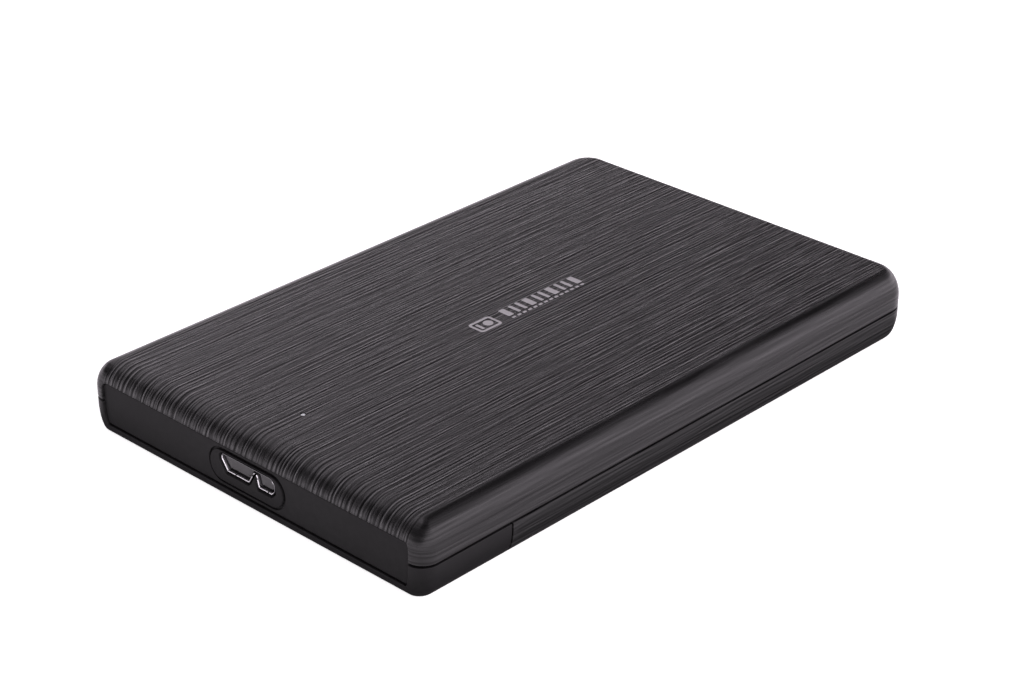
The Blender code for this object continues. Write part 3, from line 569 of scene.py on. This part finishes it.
def port_panel():
    edge = 0.12 * MM
    panel = soft_bar("socket_panel", window_outline(PANEL_GAP, 0.3 * MM), PANEL_BACK, PANEL_FACE, edge)
    half = WINDOW_HALF + 0.4 * MM
    flange = rectangle(-half, half, FLOOR + 0.2 * MM, WINDOW_HIGH + 0.5 * MM)
    join(panel, bar("panel_flange", flange, (PANEL_BACK, FLANGE_FACE)))
    outside = pill(PAD_HALF + GROOVE, PAD_RADIUS + GROOVE)
    mouth = [(grown(outside, 1.0 * MM), PANEL_FACE - 0.9 * MM), (grown(outside, 0.06 * MM), PANEL_FACE),
             (outside, PANEL_FACE + 0.1 * MM), (outside, PANEL_FACE + 0.4 * MM)]
    cut(panel, sleeve("panel_groove", mouth))
    face = PANEL_FACE - PAD_RISE
    join(panel, soft_bar("panel_pad", pill(PAD_HALF, PAD_RADIUS), PANEL_FACE + 1 * MM, face, edge))
    opening = [(x - 0.12 * MM, z - 0.18 * MM) for x, z in grown(socket_outline(), 0.34 * MM)]
    mouth = [(grown(opening, 1.0 * MM), face - 0.9 * MM), (grown(opening, 0.08 * MM), face - 0.001 * MM),
             (opening, face + 0.1 * MM), (opening, PANEL_BACK + 1 * MM)]
    cut(panel, sleeve("panel_port", mouth))
    return sharpen(panel, 40)


def usb_shell():
    """The socket's shell of folded sheet steel, with a rolled mouth and two slits in its lower wall."""
    mouth = PANEL_FACE - 0.12 * MM
    outline = socket_outline()
    rings = [(outline, SOCKET_BACK)]
    rings += [(grown(outline, -SOCKET_WALL / 2 * (1 - cos(a))), mouth + 0.15 * MM * (1 - sin(a)))
              for a in np.linspace(0, pi, 9)]
    rings.append((grown(outline, -SOCKET_WALL), SOCKET_BACK - 0.4 * MM))
    shell = sleeve("usb_shell", rings, 50)
    half = 0.13 * MM
    for x in (-3.05 * MM, 4.85 * MM):
        slit = rectangle(x - half, x + half, 4.5 * MM, 5.5 * MM)
        cut(shell, bar("usb_slit", slit, (mouth - 1 * MM, mouth + 1.6 * MM)))
    return sharpen(shell, 45)


def usb_insert():
    """The moulded body inside the socket, with a tongue in each bay."""
    root, tip = SOCKET_BACK - 0.45 * MM, PANEL_FACE + 0.35 * MM
    insert = bar("usb_insert", grown(socket_outline(), -0.35 * MM), (root, root - 1.2 * MM))
    wide = ((-4.75, 5.55), (0.0, 5.55), (1.0, 7.2), (1.0, 7.45), (-5.8, 7.45), (-5.95, 7.1))
    narrow = ((2.95, 5.55), (5.4, 5.55), (6.0, 6.1), (6.0, 6.75), (5.4, 7.45), (2.45, 7.45), (2.45, 7.2))
    for spots in (wide, narrow):
        tongue = softened([(x * MM, z * MM) for x, z in spots], 0.15 * MM, 0.1 * MM)
        join(insert, soft_bar("usb_tongue", tongue, root - 0.5 * MM, tip, 0.1 * MM))
    return sharpen(insert, 40)


def usb_contacts():
    """Gilt contact strips under the tongues: five wide ones in one bay, and five narrow ones in the other."""
    strips = []
    for first, pitch, half in ((-4.2, 0.95, 0.2), (3.35, 0.45, 0.12)):
        for x in (first + pitch * i for i in range(5)):
            strip = rounded((x - half) * MM, (x + half) * MM, 5.5 * MM, 5.62 * MM, 0.03 * MM, 2)
            strips.append(bar("usb_contacts", strip, (FRONT + 5.6 * MM, FRONT + 1.6 * MM)))
    return sharpen(join(*strips))


def light_pipe():
    low, top = BOARD[1] + 0.7 * MM, HEIGHT - 0.04 * MM
    r, foot, dome = LIGHT_RADIUS, 1.1 * MM, 0.14 * MM
    profile = [(0, low), (foot, low), (foot, CEILING - SEAT), (r, CEILING - SEAT), (r, top - dome)]
    profile += [(r * cos(a), top - dome * (1 - sin(a))) for a in np.linspace(0, pi / 2, 5)[1:-1]]
    return turned("status_light_pipe", profile + [(0, top)], (0, LIGHT_Y), 32)


def printed_mark():
    """A plain printed pictogram of a disk drive, with a row of bars and a fine dashed line beside it."""
    low, high = HEIGHT - 0.12 * MM, HEIGHT - 0.0005 * MM

    def patch(left, right, near, far, radius, steps):
        outline = rounded(left * MM, right * MM, near * MM, far * MM, radius * MM, steps)
        return plate("printed_disk_mark", outline, (low, high))

    inside = rounded(-2.1 * MM, 0.7 * MM, -8.7 * MM, -4.5 * MM, 0.3 * MM, 6)
    hole = plate("mark_hole", inside, (low - 1 * MM, high + 1 * MM))
    disk = post("mark_disk", 0.95 * MM, (low, high), (-0.7 * MM, -5.9 * MM))
    pieces = [cut(patch(-2.6, 1.2, -9.2, -4.0, 0.7, 8), hole), disk, patch(-1.7, 0.3, -8.2, -7.6, 0.15, 3)]
    for near, wide in ((-1.5, 1.3), (0.9, 0.7), (2.6, 0.7), (4.4, 1.3), (6.8, 0.7), (8.5, 0.7), (10.3, 1.3),
                       (12.7, 0.7), (14.4, 0.7), (16.2, 1.3)):
        pieces.append(patch(-2.6, 0.2, near, near + wide, 0.2, 4))
    for i in range(14):
        near = -1.5 + 1.36 * i
        pieces.append(patch(0.75, 1.2, near, near + 0.85, 0.12, 3))
    mark = pieces[0]
    bm = bmesh.new()
    for piece in pieces:
        bm.from_mesh(piece.data)
    for piece in pieces[1:]:
        bpy.data.objects.remove(piece)
    bm.to_mesh(mark.data)
    bm.free()
    return sharpen(mark)


def foam_pad():
    """The foam strip against the rear wall, its faces slightly crowned and pitted."""
    low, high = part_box("rear_pad")
    middle, half = (low + high) / 2, (high - low) / 2
    bm = bmesh.new()
    across, up, deep = 140, 8, 4
    corners = {}

    def spot(i, j, k):
        if (i, j, k) not in corners:
            u, v, w = 2 * i / across - 1, 2 * j / up - 1, 2 * k / deep - 1
            near_edge = np.array([u ** 8, v ** 4, w ** 4])
            pull = 1 - 0.05 * (near_edge.sum() - near_edge)
            pit = rng.uniform(0, 0.03 * MM, 3)
            place = [middle[0] + u * (half[0] - pit[0] - (1 - pull[0]) * MM),
                     middle[1] + w * (half[1] * pull[2] - pit[1]),
                     middle[2] + v * (half[2] * pull[1] - pit[2])]
            corners[i, j, k] = bm.verts.new(place)
        return corners[i, j, k]

    counts = (across, up, deep)
    for a, b, c in ((0, 1, 2), (1, 2, 0), (2, 0, 1)):
        for end in (0, counts[c]):
            for m in range(counts[a]):
                for n in range(counts[b]):
                    quad = []
                    for p, q in ((m, n), (m + 1, n), (m + 1, n + 1), (m, n + 1)):
                        at = {a: p, b: q, c: end}
                        quad.append(spot(at[0], at[1], at[2]))
                    bm.faces.new(quad)
    return from_bmesh("rear_foam_pad", bm, 60)


# ---------------------------------------------------------------- materials


def node_of(tree, kind, **values):
    """A new node; values set its sockets by name."""
    node = tree.nodes.new(kind)
    for name, value in values.items():
        node.inputs[name.replace("_", " ").title()].default_value = value
    return node


def figure(tree, operation, first, second=0.0):
    """The result of a sum on one or two values, each of them a number or a socket."""
    node = tree.nodes.new("ShaderNodeMath")
    node.operation = operation
    for socket, value in zip(node.inputs, (first, second)):
        if isinstance(value, (int, float)):
            socket.default_value = value
        else:
            tree.links.new(value, socket)
    return node.outputs[0]


def ranged(tree, value, low, high, to_low, to_high, smoothly=False):
    """The value moved from one range to another, and held at its ends."""
    node = tree.nodes.new("ShaderNodeMapRange")
    node.interpolation_type = "SMOOTHSTEP" if smoothly else "LINEAR"
    tree.links.new(value, node.inputs["Value"])
    for name, number in (("From Min", low), ("From Max", high), ("To Min", to_low), ("To Max", to_high)):
        node.inputs[name].default_value = number
    return node.outputs[0]


def mapped(tree, scale, shift=(0, 0, 0)):
    """The place in the object's own space, times scale and moved by shift."""
    place = tree.nodes.new("ShaderNodeTexCoord")
    mapping = tree.nodes.new("ShaderNodeMapping")
    mapping.inputs["Scale"].default_value = scale
    mapping.inputs["Location"].default_value = shift
    tree.links.new(place.outputs["Object"], mapping.inputs["Vector"])
    return mapping.outputs[0]


def noise(tree, scale, detail=3.0, shift=(0, 0, 0)):
    """Noise in the object's own space; scale is cycles per metre on each axis, and shift is in cycles."""
    made_noise = node_of(tree, "ShaderNodeTexNoise", scale=1.0, detail=detail, roughness=0.6)
    tree.links.new(mapped(tree, scale, shift), made_noise.inputs["Vector"])
    return made_noise.outputs[0]


def place_in(tree, space="Object"):
    """The x, y and z of the place being shaded."""
    place = tree.nodes.new("ShaderNodeTexCoord")
    parts = tree.nodes.new("ShaderNodeSeparateXYZ")
    tree.links.new(place.outputs[space], parts.inputs[0])
    return parts.outputs


def blended(tree, share, dark, light):
    """A colour between two, each of them three numbers or a socket."""
    node = tree.nodes.new("ShaderNodeMix")
    node.data_type = "RGBA"
    tree.links.new(share, node.inputs["Factor"])
    for socket, value in zip([s for s in node.inputs if s.type == "RGBA"], (dark, light)):
        if isinstance(value, tuple):
            socket.default_value = (*value, 1)
        else:
            tree.links.new(value, socket)
    return [s for s in node.outputs if s.type == "RGBA"][0]


def worn(tree, colour, light, amount):
    """The colour turned lighter on edges that stick out."""
    shape = tree.nodes.new("ShaderNodeNewGeometry")
    edge = ranged(tree, shape.outputs["Pointiness"], 0.52, 0.62, 0.0, amount)
    spots = ranged(tree, noise(tree, (900, 900, 900), 2.0), 0.35, 0.6, 0.2, 1.0)
    return blended(tree, figure(tree, "MULTIPLY", edge, spots), colour, light)


def shader(name):
    made_material = bpy.data.materials.new(name)
    made_material.use_nodes = True
    return made_material, made_material.node_tree, made_material.node_tree.nodes["Principled BSDF"]


def bumped(tree, body, height, strength, distance):
    bump = tree.nodes.new("ShaderNodeBump")
    bump.inputs["Strength"].default_value = strength
    bump.inputs["Distance"].default_value = distance
    tree.links.new(height, bump.inputs["Height"])
    tree.links.new(bump.outputs[0], body.inputs["Normal"])


def hairline_height(tree, pitch, length, side_share):
    """Streaks about 0 that run along Y over the top and the sides, all about as wide: noise less the same
    noise one cell further across."""
    across, along = 1 / pitch, 1 / length
    over = figure(tree, "SUBTRACT", noise(tree, (across, along, along), 2.0),
                  noise(tree, (across, along, along), 2.0, shift=(1.0, 0, 0)))
    beside = figure(tree, "SUBTRACT", noise(tree, (along, along, across), 2.0),
                    noise(tree, (along, along, across), 2.0, shift=(0, 0, 1.0)))
    share = ranged(tree, figure(tree, "ABSOLUTE", place_in(tree)[0]), *CREASE, 0.0, 1.0, True)
    node = tree.nodes.new("ShaderNodeMix")
    tree.links.new(share, node.inputs[0])
    tree.links.new(over, node.inputs[2])
    tree.links.new(figure(tree, "MULTIPLY", beside, side_share), node.inputs[3])
    return node.outputs[0]


def brushed(name, dark, light, rough, specular, strength, side_share):
    """Black plastic moulded with hairlines, which vary its gloss and height, and whose light and shade are
    painted into its tone as dark and lighter streaks.
    """
    made_material, tree, body = shader(name)
    streak = hairline_height(tree, 0.36 * MM, 17 * MM, side_share)
    # painted light and shade: the colour is streaked along the hairlines, dark in their hollows and lighter
    # between them
    tone = blended(tree, ranged(tree, streak, -0.16, 0.28, 0.0, 1.0, True), dark, light)
    tree.links.new(worn(tree, tone, (0.05, 0.048, 0.05), 0.35), body.inputs["Base Color"])
    smudge = ranged(tree, noise(tree, (60, 35, 60), 3.0), 0.3, 0.7, -0.02, 0.03)
    grain = ranged(tree, streak, -0.2, 0.2, rough + 0.1, rough - 0.08)
    tree.links.new(figure(tree, "ADD", grain, smudge), body.inputs["Roughness"])
    shine = ranged(tree, streak, -0.24, 0.24, specular * 0.4, specular * 1.6)
    tree.links.new(shine, body.inputs["Specular IOR Level"])
    bumped(tree, body, streak, strength, 0.12 * MM)
    return made_material


def socket_metal():
    """Bright plated steel, rougher down inside the socket, with painted shade that darkens its colour there
    and along the top and right of its rim.
    """
    made_material, tree, body = shader("socket_steel")
    x, y, z = place_in(tree)
    inside = ranged(tree, y, PANEL_FACE + 0.02 * MM, PANEL_FACE + 0.4 * MM, 0.0, 1.0, True)
    upper = ranged(tree, z, 7.3 * MM, 7.6 * MM, 0.0, 1.0, True)
    right = ranged(tree, x, 5.9 * MM, 6.3 * MM, 0.0, 1.0, True)
    # painted shade: the steel's colour is darkened down inside the socket and along the top and right of its
    # rim
    painted_shade = figure(tree, "MAXIMUM", inside, figure(tree, "MAXIMUM", upper, right))
    tree.links.new(blended(tree, painted_shade, (0.9, 0.9, 0.91), (0.16, 0.16, 0.165)), body.inputs["Base Color"])
    marks = noise(tree, (3000, 300, 3000), 3.0)
    rough, rubbed = ranged(tree, inside, 0.0, 1.0, 0.14, 0.5), ranged(tree, marks, 0.3, 0.7, 0.0, 0.1)
    tree.links.new(figure(tree, "ADD", rough, rubbed), body.inputs["Roughness"])
    body.inputs["Metallic"].default_value = 1.0
    bumped(tree, body, marks, 0.1, 0.01 * MM)
    return made_material


def surface(name, colour, rough, metallic=0.0, grain=0.15, bump=0.25, depth=0.01, stretch=(1, 1, 1),
            specular=0.5, spread=0.18, wear=0.3, glow=0.0):
    """A plain material with noise of that grain, in mm, in its colour, roughness and height."""
    made_material, tree, body = shader(name)
    scale = [1 / (grain * MM) * s for s in stretch]
    fine = noise(tree, scale, 4.0)
    broad = noise(tree, [s / 9 for s in scale], 2.0)
    dark = tuple(c * (1 - spread) for c in colour)
    light = tuple(min(1, c * (1 + spread)) for c in colour)
    mixed = figure(tree, "ADD", figure(tree, "MULTIPLY", fine, 0.6), figure(tree, "MULTIPLY", broad, 0.4))
    tone = blended(tree, ranged(tree, mixed, 0.35, 0.65, 0.0, 1.0), dark, light)
    bare = tuple(min(1, c * 1.5 + 0.03) for c in colour)
    tree.links.new(worn(tree, tone, bare, wear), body.inputs["Base Color"])
    tree.links.new(ranged(tree, mixed, 0.3, 0.7, rough * 0.82, min(1, rough * 1.2)), body.inputs["Roughness"])
    body.inputs["Metallic"].default_value = metallic
    body.inputs["Specular IOR Level"].default_value = specular
    # painted light: a glow in the material's own colour, for a part that is no lamp
    if glow:
        body.inputs["Emission Color"].default_value = (*colour, 1)
        body.inputs["Emission Strength"].default_value = glow
    bumped(tree, body, fine, bump, depth * MM)
    return made_material


def board_material():
    """Green solder mask over a net of copper tracks."""
    made_material, tree, body = shader("board_green")
    tracks = node_of(tree, "ShaderNodeTexBrick", scale=1.0, mortar_size=0.12, mortar_smooth=0.3)
    tracks.inputs["Color1"].default_value = (0, 0, 0, 1)
    tracks.inputs["Color2"].default_value = (0.35, 0.35, 0.35, 1)
    tracks.inputs["Mortar"].default_value = (1, 1, 1, 1)
    tree.links.new(mapped(tree, (420, 420, 420)), tracks.inputs["Vector"])
    tone = blended(tree, tracks.outputs["Color"], (0.008, 0.06, 0.03), (0.02, 0.13, 0.06))
    tree.links.new(worn(tree, tone, (0.2, 0.25, 0.12), 0.4), body.inputs["Base Color"])
    tree.links.new(ranged(tree, noise(tree, (700, 700, 700)), 0.3, 0.7, 0.3, 0.45), body.inputs["Roughness"])
    bumped(tree, body, tracks.outputs["Color"], 0.3, 0.02 * MM)
    return made_material


def label_material():
    """White paper with plain printed bars and ruled fields."""
    made_material, tree, body = shader("label_paper")
    x, y, _ = place_in(tree)
    rows_per_metre = 240.0
    row = figure(tree, "FRACT", figure(tree, "MULTIPLY", y, rows_per_metre))
    stroke = figure(tree, "GREATER_THAN", row, 0.62)
    words = figure(tree, "GREATER_THAN", noise(tree, (700, rows_per_metre, 1), 0.0), 0.47)
    field = figure(tree, "LESS_THAN", figure(tree, "ABSOLUTE", x), 24 * MM)
    beyond = figure(tree, "GREATER_THAN", y, 4 * MM)
    written = figure(tree, "MULTIPLY", figure(tree, "MULTIPLY", stroke, words), beyond)
    codes = figure(tree, "GREATER_THAN", noise(tree, (1500, 1, 1), 2.0), 0.5)
    strip = figure(tree, "LESS_THAN", figure(tree, "ABSOLUTE", figure(tree, "ADD", y, 2 * MM)), 3 * MM)
    coded = figure(tree, "MULTIPLY", codes, strip)
    ink = figure(tree, "MULTIPLY", figure(tree, "MAXIMUM", written, coded), field)
    fibres = noise(tree, (2500, 2500, 2500), 3.0)
    paper = figure(tree, "MULTIPLY", ink, ranged(tree, fibres, 0.3, 0.7, 0.8, 0.9))
    tree.links.new(blended(tree, paper, (0.8, 0.8, 0.79), (0.06, 0.06, 0.07)), body.inputs["Base Color"])
    tree.links.new(ranged(tree, fibres, 0.3, 0.7, 0.5, 0.65), body.inputs["Roughness"])
    bumped(tree, body, fibres, 0.2, 0.01 * MM)
    return made_material


PAINTED_HAIRLINE_SHADE = (0.0015, 0.0015, 0.0015)  # painted shade: the dark colour painted down in the hairlines

MATERIALS = {
    "brushed_black": brushed("shell_black", PAINTED_HAIRLINE_SHADE, (0.034, 0.033, 0.034), 0.27, 0.34, 1.0, 0.3),
    "cover_black": brushed("cover_black", PAINTED_HAIRLINE_SHADE, (0.022, 0.0215, 0.022), 0.33, 0.28, 0.9, 0.6),
    "base_black": surface("base_black", (0.0085, 0.0081, 0.0085), 0.42, grain=0.2, bump=0.15, depth=0.006,
                          specular=0.17, wear=0.4),
    "matte_black": surface("matte_black", (0.0125, 0.012, 0.0125), 0.5, grain=0.12, bump=0.18, depth=0.006,
                           specular=0.1),
    "black_plastic": surface("black_plastic", (0.02, 0.02, 0.021), 0.45, grain=0.2),
    "socket_plastic": surface("socket_plastic", (0.045, 0.044, 0.045), 0.5, bump=0.2, wear=0.2),
    "foam": surface("foam_black", (0.03, 0.03, 0.031), 0.95, grain=0.22, bump=1.0, depth=0.12, spread=0.5),
    "board_green": board_material(),
    "chip_black": surface("chip_black", (0.02, 0.02, 0.021), 0.42, grain=0.08, bump=0.3, wear=0.2),
    "steel": surface("steel", (0.6, 0.6, 0.61), 0.3, 1.0, grain=0.3, stretch=(1, 0.06, 1), bump=0.15),
    "socket_steel": socket_metal(),
    "machined_steel": surface("machined_steel", (0.6, 0.6, 0.61), 0.27, 1.0, grain=0.12,
                              stretch=(0.3, 0.3, 3), bump=0.2),
    "aluminium": surface("aluminium", (0.62, 0.63, 0.65), 0.42, 1.0, grain=0.25, bump=0.35, depth=0.015),
    "platter_mirror": surface("platter_mirror", (0.82, 0.82, 0.84), 0.05, 1.0, grain=1.5, bump=0.01,
                              spread=0.02, wear=0.1),
    "magnet": surface("magnet_nickel", (0.58, 0.58, 0.6), 0.2, 1.0, grain=0.4, bump=0.1),
    "copper": surface("copper_wire", (0.7, 0.3, 0.13), 0.32, 1.0, grain=0.12, stretch=(1, 1, 3), bump=0.5),
    "gilt": surface("gilt", (0.85, 0.6, 0.25), 0.25, 1.0, grain=0.3, bump=0.1),
    # painted light: the clear plastic glows weakly in its own colour, which brightens the light pipe's dot
    "clear_plastic": surface("clear_plastic", (0.72, 0.74, 0.76), 0.25, grain=0.4, bump=0.08, spread=0.05,
                             glow=0.12),
    "ivory_plastic": surface("ivory_plastic", (0.78, 0.74, 0.62), 0.45, grain=0.25, bump=0.2),
    "filter_paper": surface("filter_paper", (0.8, 0.8, 0.78), 0.95, grain=0.12, bump=0.9, depth=0.05),
    "amber_film": surface("amber_film", (0.55, 0.24, 0.03), 0.3, grain=0.4, bump=0.15),
    "label_paper": label_material(),
    "rubber": surface("rubber", (0.025, 0.025, 0.025), 0.8, bump=0.4),
    "silver_print": surface("silver_print", (0.5, 0.49, 0.5), 0.5, grain=0.1, bump=0.15, depth=0.004,
                            spread=0.12, wear=0.0),
}


def dress(obj, material, body, slot, *nodes):
    """Gives a new piece its material and its body, and hides the CAD nodes that it stands for; its slot is
    not used.
    """
    obj.data.materials.clear()
    obj.data.materials.append(MATERIALS[material])
    if nodes:
        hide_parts(*nodes)
    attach(obj, body)
    return obj


def dress_cad():
    """Softens the edges of the CAD nodes that stay, and gives them their materials."""
    crisp = {"platter_lower", "platter_upper", "flex_cable", "drive_label"}
    for name, node in frame["nodes"].items():
        if node.hide_render:
            continue
        finish = node.material_slots[0].material.name.split(".")[0]
        node.material_slots[0].material = MATERIALS[finish]
        weld = node.modifiers.new("Weld", "WELD")
        weld.merge_threshold = 0.001 * MM
        low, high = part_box(name)
        thin = min(high - low)
        bevel = node.modifiers.new("Bevel", "BEVEL")
        bevel.limit_method = "ANGLE"
        bevel.angle_limit = radians(38)
        bevel.segments = 2
        bevel.width = min(0.12 * MM, thin * 0.12) * (0.4 if name in crisp else 1.0)
        bevel.harden_normals = False
        node.modifiers.new("Normals", "WEIGHTED_NORMAL").keep_sharp = True


# ---------------------------------------------------------------- studio


def plane(name, z):
    bm = bmesh.new()
    corners = rectangle(-FLOOR_HALF, FLOOR_HALF, -FLOOR_HALF, FLOOR_HALF)
    bm.faces.new([bm.verts.new((x, y, z)) for x, y in corners])
    mesh = bpy.data.meshes.new(name)
    bm.to_mesh(mesh)
    bm.free()
    return made(name, mesh)


def studio_floor():
    floor = plane("studio_floor", FLOOR_Z)
    made_material, tree, body = shader("studio_floor")
    grain = noise(tree, (40, 40, 40), 2.0)
    tree.links.new(ranged(tree, grain, 0.3, 0.7, 0.6, 0.7), body.inputs["Roughness"])
    tree.links.new(blended(tree, grain, (0.93, 0.93, 0.93), (0.95, 0.95, 0.95)), body.inputs["Base Color"])
    body.inputs["Specular IOR Level"].default_value = 0.1
    body.inputs["Emission Color"].default_value = (1, 1, 1, 1)
    body.inputs["Emission Strength"].default_value = 0.8
    floor.data.materials.append(made_material)
    floor.visible_glossy = False
    return floor


def mirrored_floor():
    """What glossy plastic sees of the floor: darker close to the drive, where the drive shades it."""
    floor = plane("mirrored_floor", MIRROR_Z)
    made_material = bpy.data.materials.new("mirrored_floor")
    made_material.use_nodes = True
    tree = made_material.node_tree
    tree.nodes.clear()
    x, y, _ = place_in(tree)
    beside = figure(tree, "SUBTRACT", figure(tree, "ABSOLUTE", x), WIDTH / 2)
    beyond = figure(tree, "SUBTRACT", figure(tree, "ABSOLUTE", y), LENGTH / 2)
    away = figure(tree, "MAXIMUM", beside, beyond)
    glow = tree.nodes.new("ShaderNodeEmission")
    glow.inputs["Color"].default_value = CAST
    tree.links.new(ranged(tree, away, 0.0, SHADE_REACH, *SHADE, True), glow.inputs["Strength"])
    out = tree.nodes.new("ShaderNodeOutputMaterial")
    tree.links.new(glow.outputs[0], out.inputs["Surface"])
    floor.data.materials.append(made_material)
    floor.visible_camera = False
    floor.visible_diffuse = False
    floor.visible_shadow = False
    floor.visible_transmission = False
    return floor


def studio_world():
    """A soft white studio: a bright wall all round, a wide light over the left rear, and one that gets
    brighter towards the right. Places on the ceiling are how far across and how far north they are for
    each unit of height."""
    world = bpy.data.worlds.new("studio")
    bpy.context.scene.world = world
    world.use_nodes = True
    tree = world.node_tree
    tree.nodes.clear()
    x, y, z = place_in(tree, "Generated")
    up = figure(tree, "MAXIMUM", z, 0.05)
    east = figure(tree, "DIVIDE", x, up)
    north = figure(tree, "DIVIDE", y, up)
    across = figure(tree, "ADD", east, figure(tree, "MULTIPLY", north, LIGHT_TURN))
    left = ranged(tree, across, -0.68, -0.42, 1.0, 0.0, True)
    back = ranged(tree, north, -0.6, 0.1, 0.0, 1.0, True)
    strength = ranged(tree, north, 0.95, 1.9, *LEFT_LIGHT)
    left_light = figure(tree, "MULTIPLY", figure(tree, "MULTIPLY", left, back), strength)
    right_light = ranged(tree, across, 0.12, 1.7, 0.0, RIGHT_LIGHT, True)
    ceiling = figure(tree, "ADD", figure(tree, "ADD", left_light, right_light), GAP_LIGHT)
    height = figure(tree, "ADD", z, figure(tree, "MULTIPLY", figure(tree, "MAXIMUM", y, 0.0), WALL_DIP))
    level = ranged(tree, height, 0.1, 0.43, 1.0, 0.0, True)
    wall = figure(tree, "MULTIPLY", level, WALL_LIGHT)
    rest = figure(tree, "MULTIPLY", ceiling, figure(tree, "SUBTRACT", 1.0, level))
    glow = tree.nodes.new("ShaderNodeBackground")
    glow.inputs["Color"].default_value = CAST
    tree.links.new(figure(tree, "ADD", wall, rest), glow.inputs["Strength"])
    out = tree.nodes.new("ShaderNodeOutputWorld")
    tree.links.new(glow.outputs[0], out.inputs["Surface"])


def camera():
    back = Vector((sin(AZIMUTH) * cos(ELEVATION), -cos(AZIMUTH) * cos(ELEVATION), sin(ELEVATION)))
    right = Vector((cos(AZIMUTH), sin(AZIMUTH), 0))
    up = back.cross(right)
    turned_right = right * cos(ROLL) + up * sin(ROLL)
    turned_up = up * cos(ROLL) - right * sin(ROLL)
    data = bpy.data.cameras.new("camera")
    data.lens = LENS
    data.sensor_width = SENSOR
    data.dof.use_dof = False
    data.clip_start, data.clip_end = 0.01, 20.0
    view = bpy.data.objects.new("camera", data)
    bpy.context.scene.collection.objects.link(view)
    place = back * DISTANCE + turned_right * AIM[0] + turned_up * AIM[1]
    turned_axes = Matrix((turned_right, turned_up, back)).transposed().to_4x4()
    view.matrix_world = Matrix.Translation(place) @ turned_axes
    bpy.context.scene.camera = view


dress(top_shell(), "brushed_black", "enclosure", "brushed_black", "top_shell")
dress(front_base(), "base_black", "enclosure", "brushed_black", "front_base")
dress(sliding_cover(), "cover_black", "cover", "brushed_black", "sliding_cover")
dress(port_panel(), "matte_black", "enclosure", "matte_black", "port_panel")
dress(usb_shell(), "socket_steel", "enclosure", "steel", "usb_socket_shell")
dress(usb_insert(), "socket_plastic", "enclosure", "black_plastic", "usb_socket_insert")
dress(usb_contacts(), "gilt", "enclosure", "copper")
dress(light_pipe(), "clear_plastic", "enclosure", "clear_plastic", "light_pipe")
dress(printed_mark(), "silver_print", "enclosure", "label_paper")
dress(foam_pad(), "foam", "enclosure", "foam", "rear_pad")
dress_cad()

studio_floor()
mirrored_floor()
studio_world()
camera()
bpy.context.scene.view_settings.view_transform = "Standard"
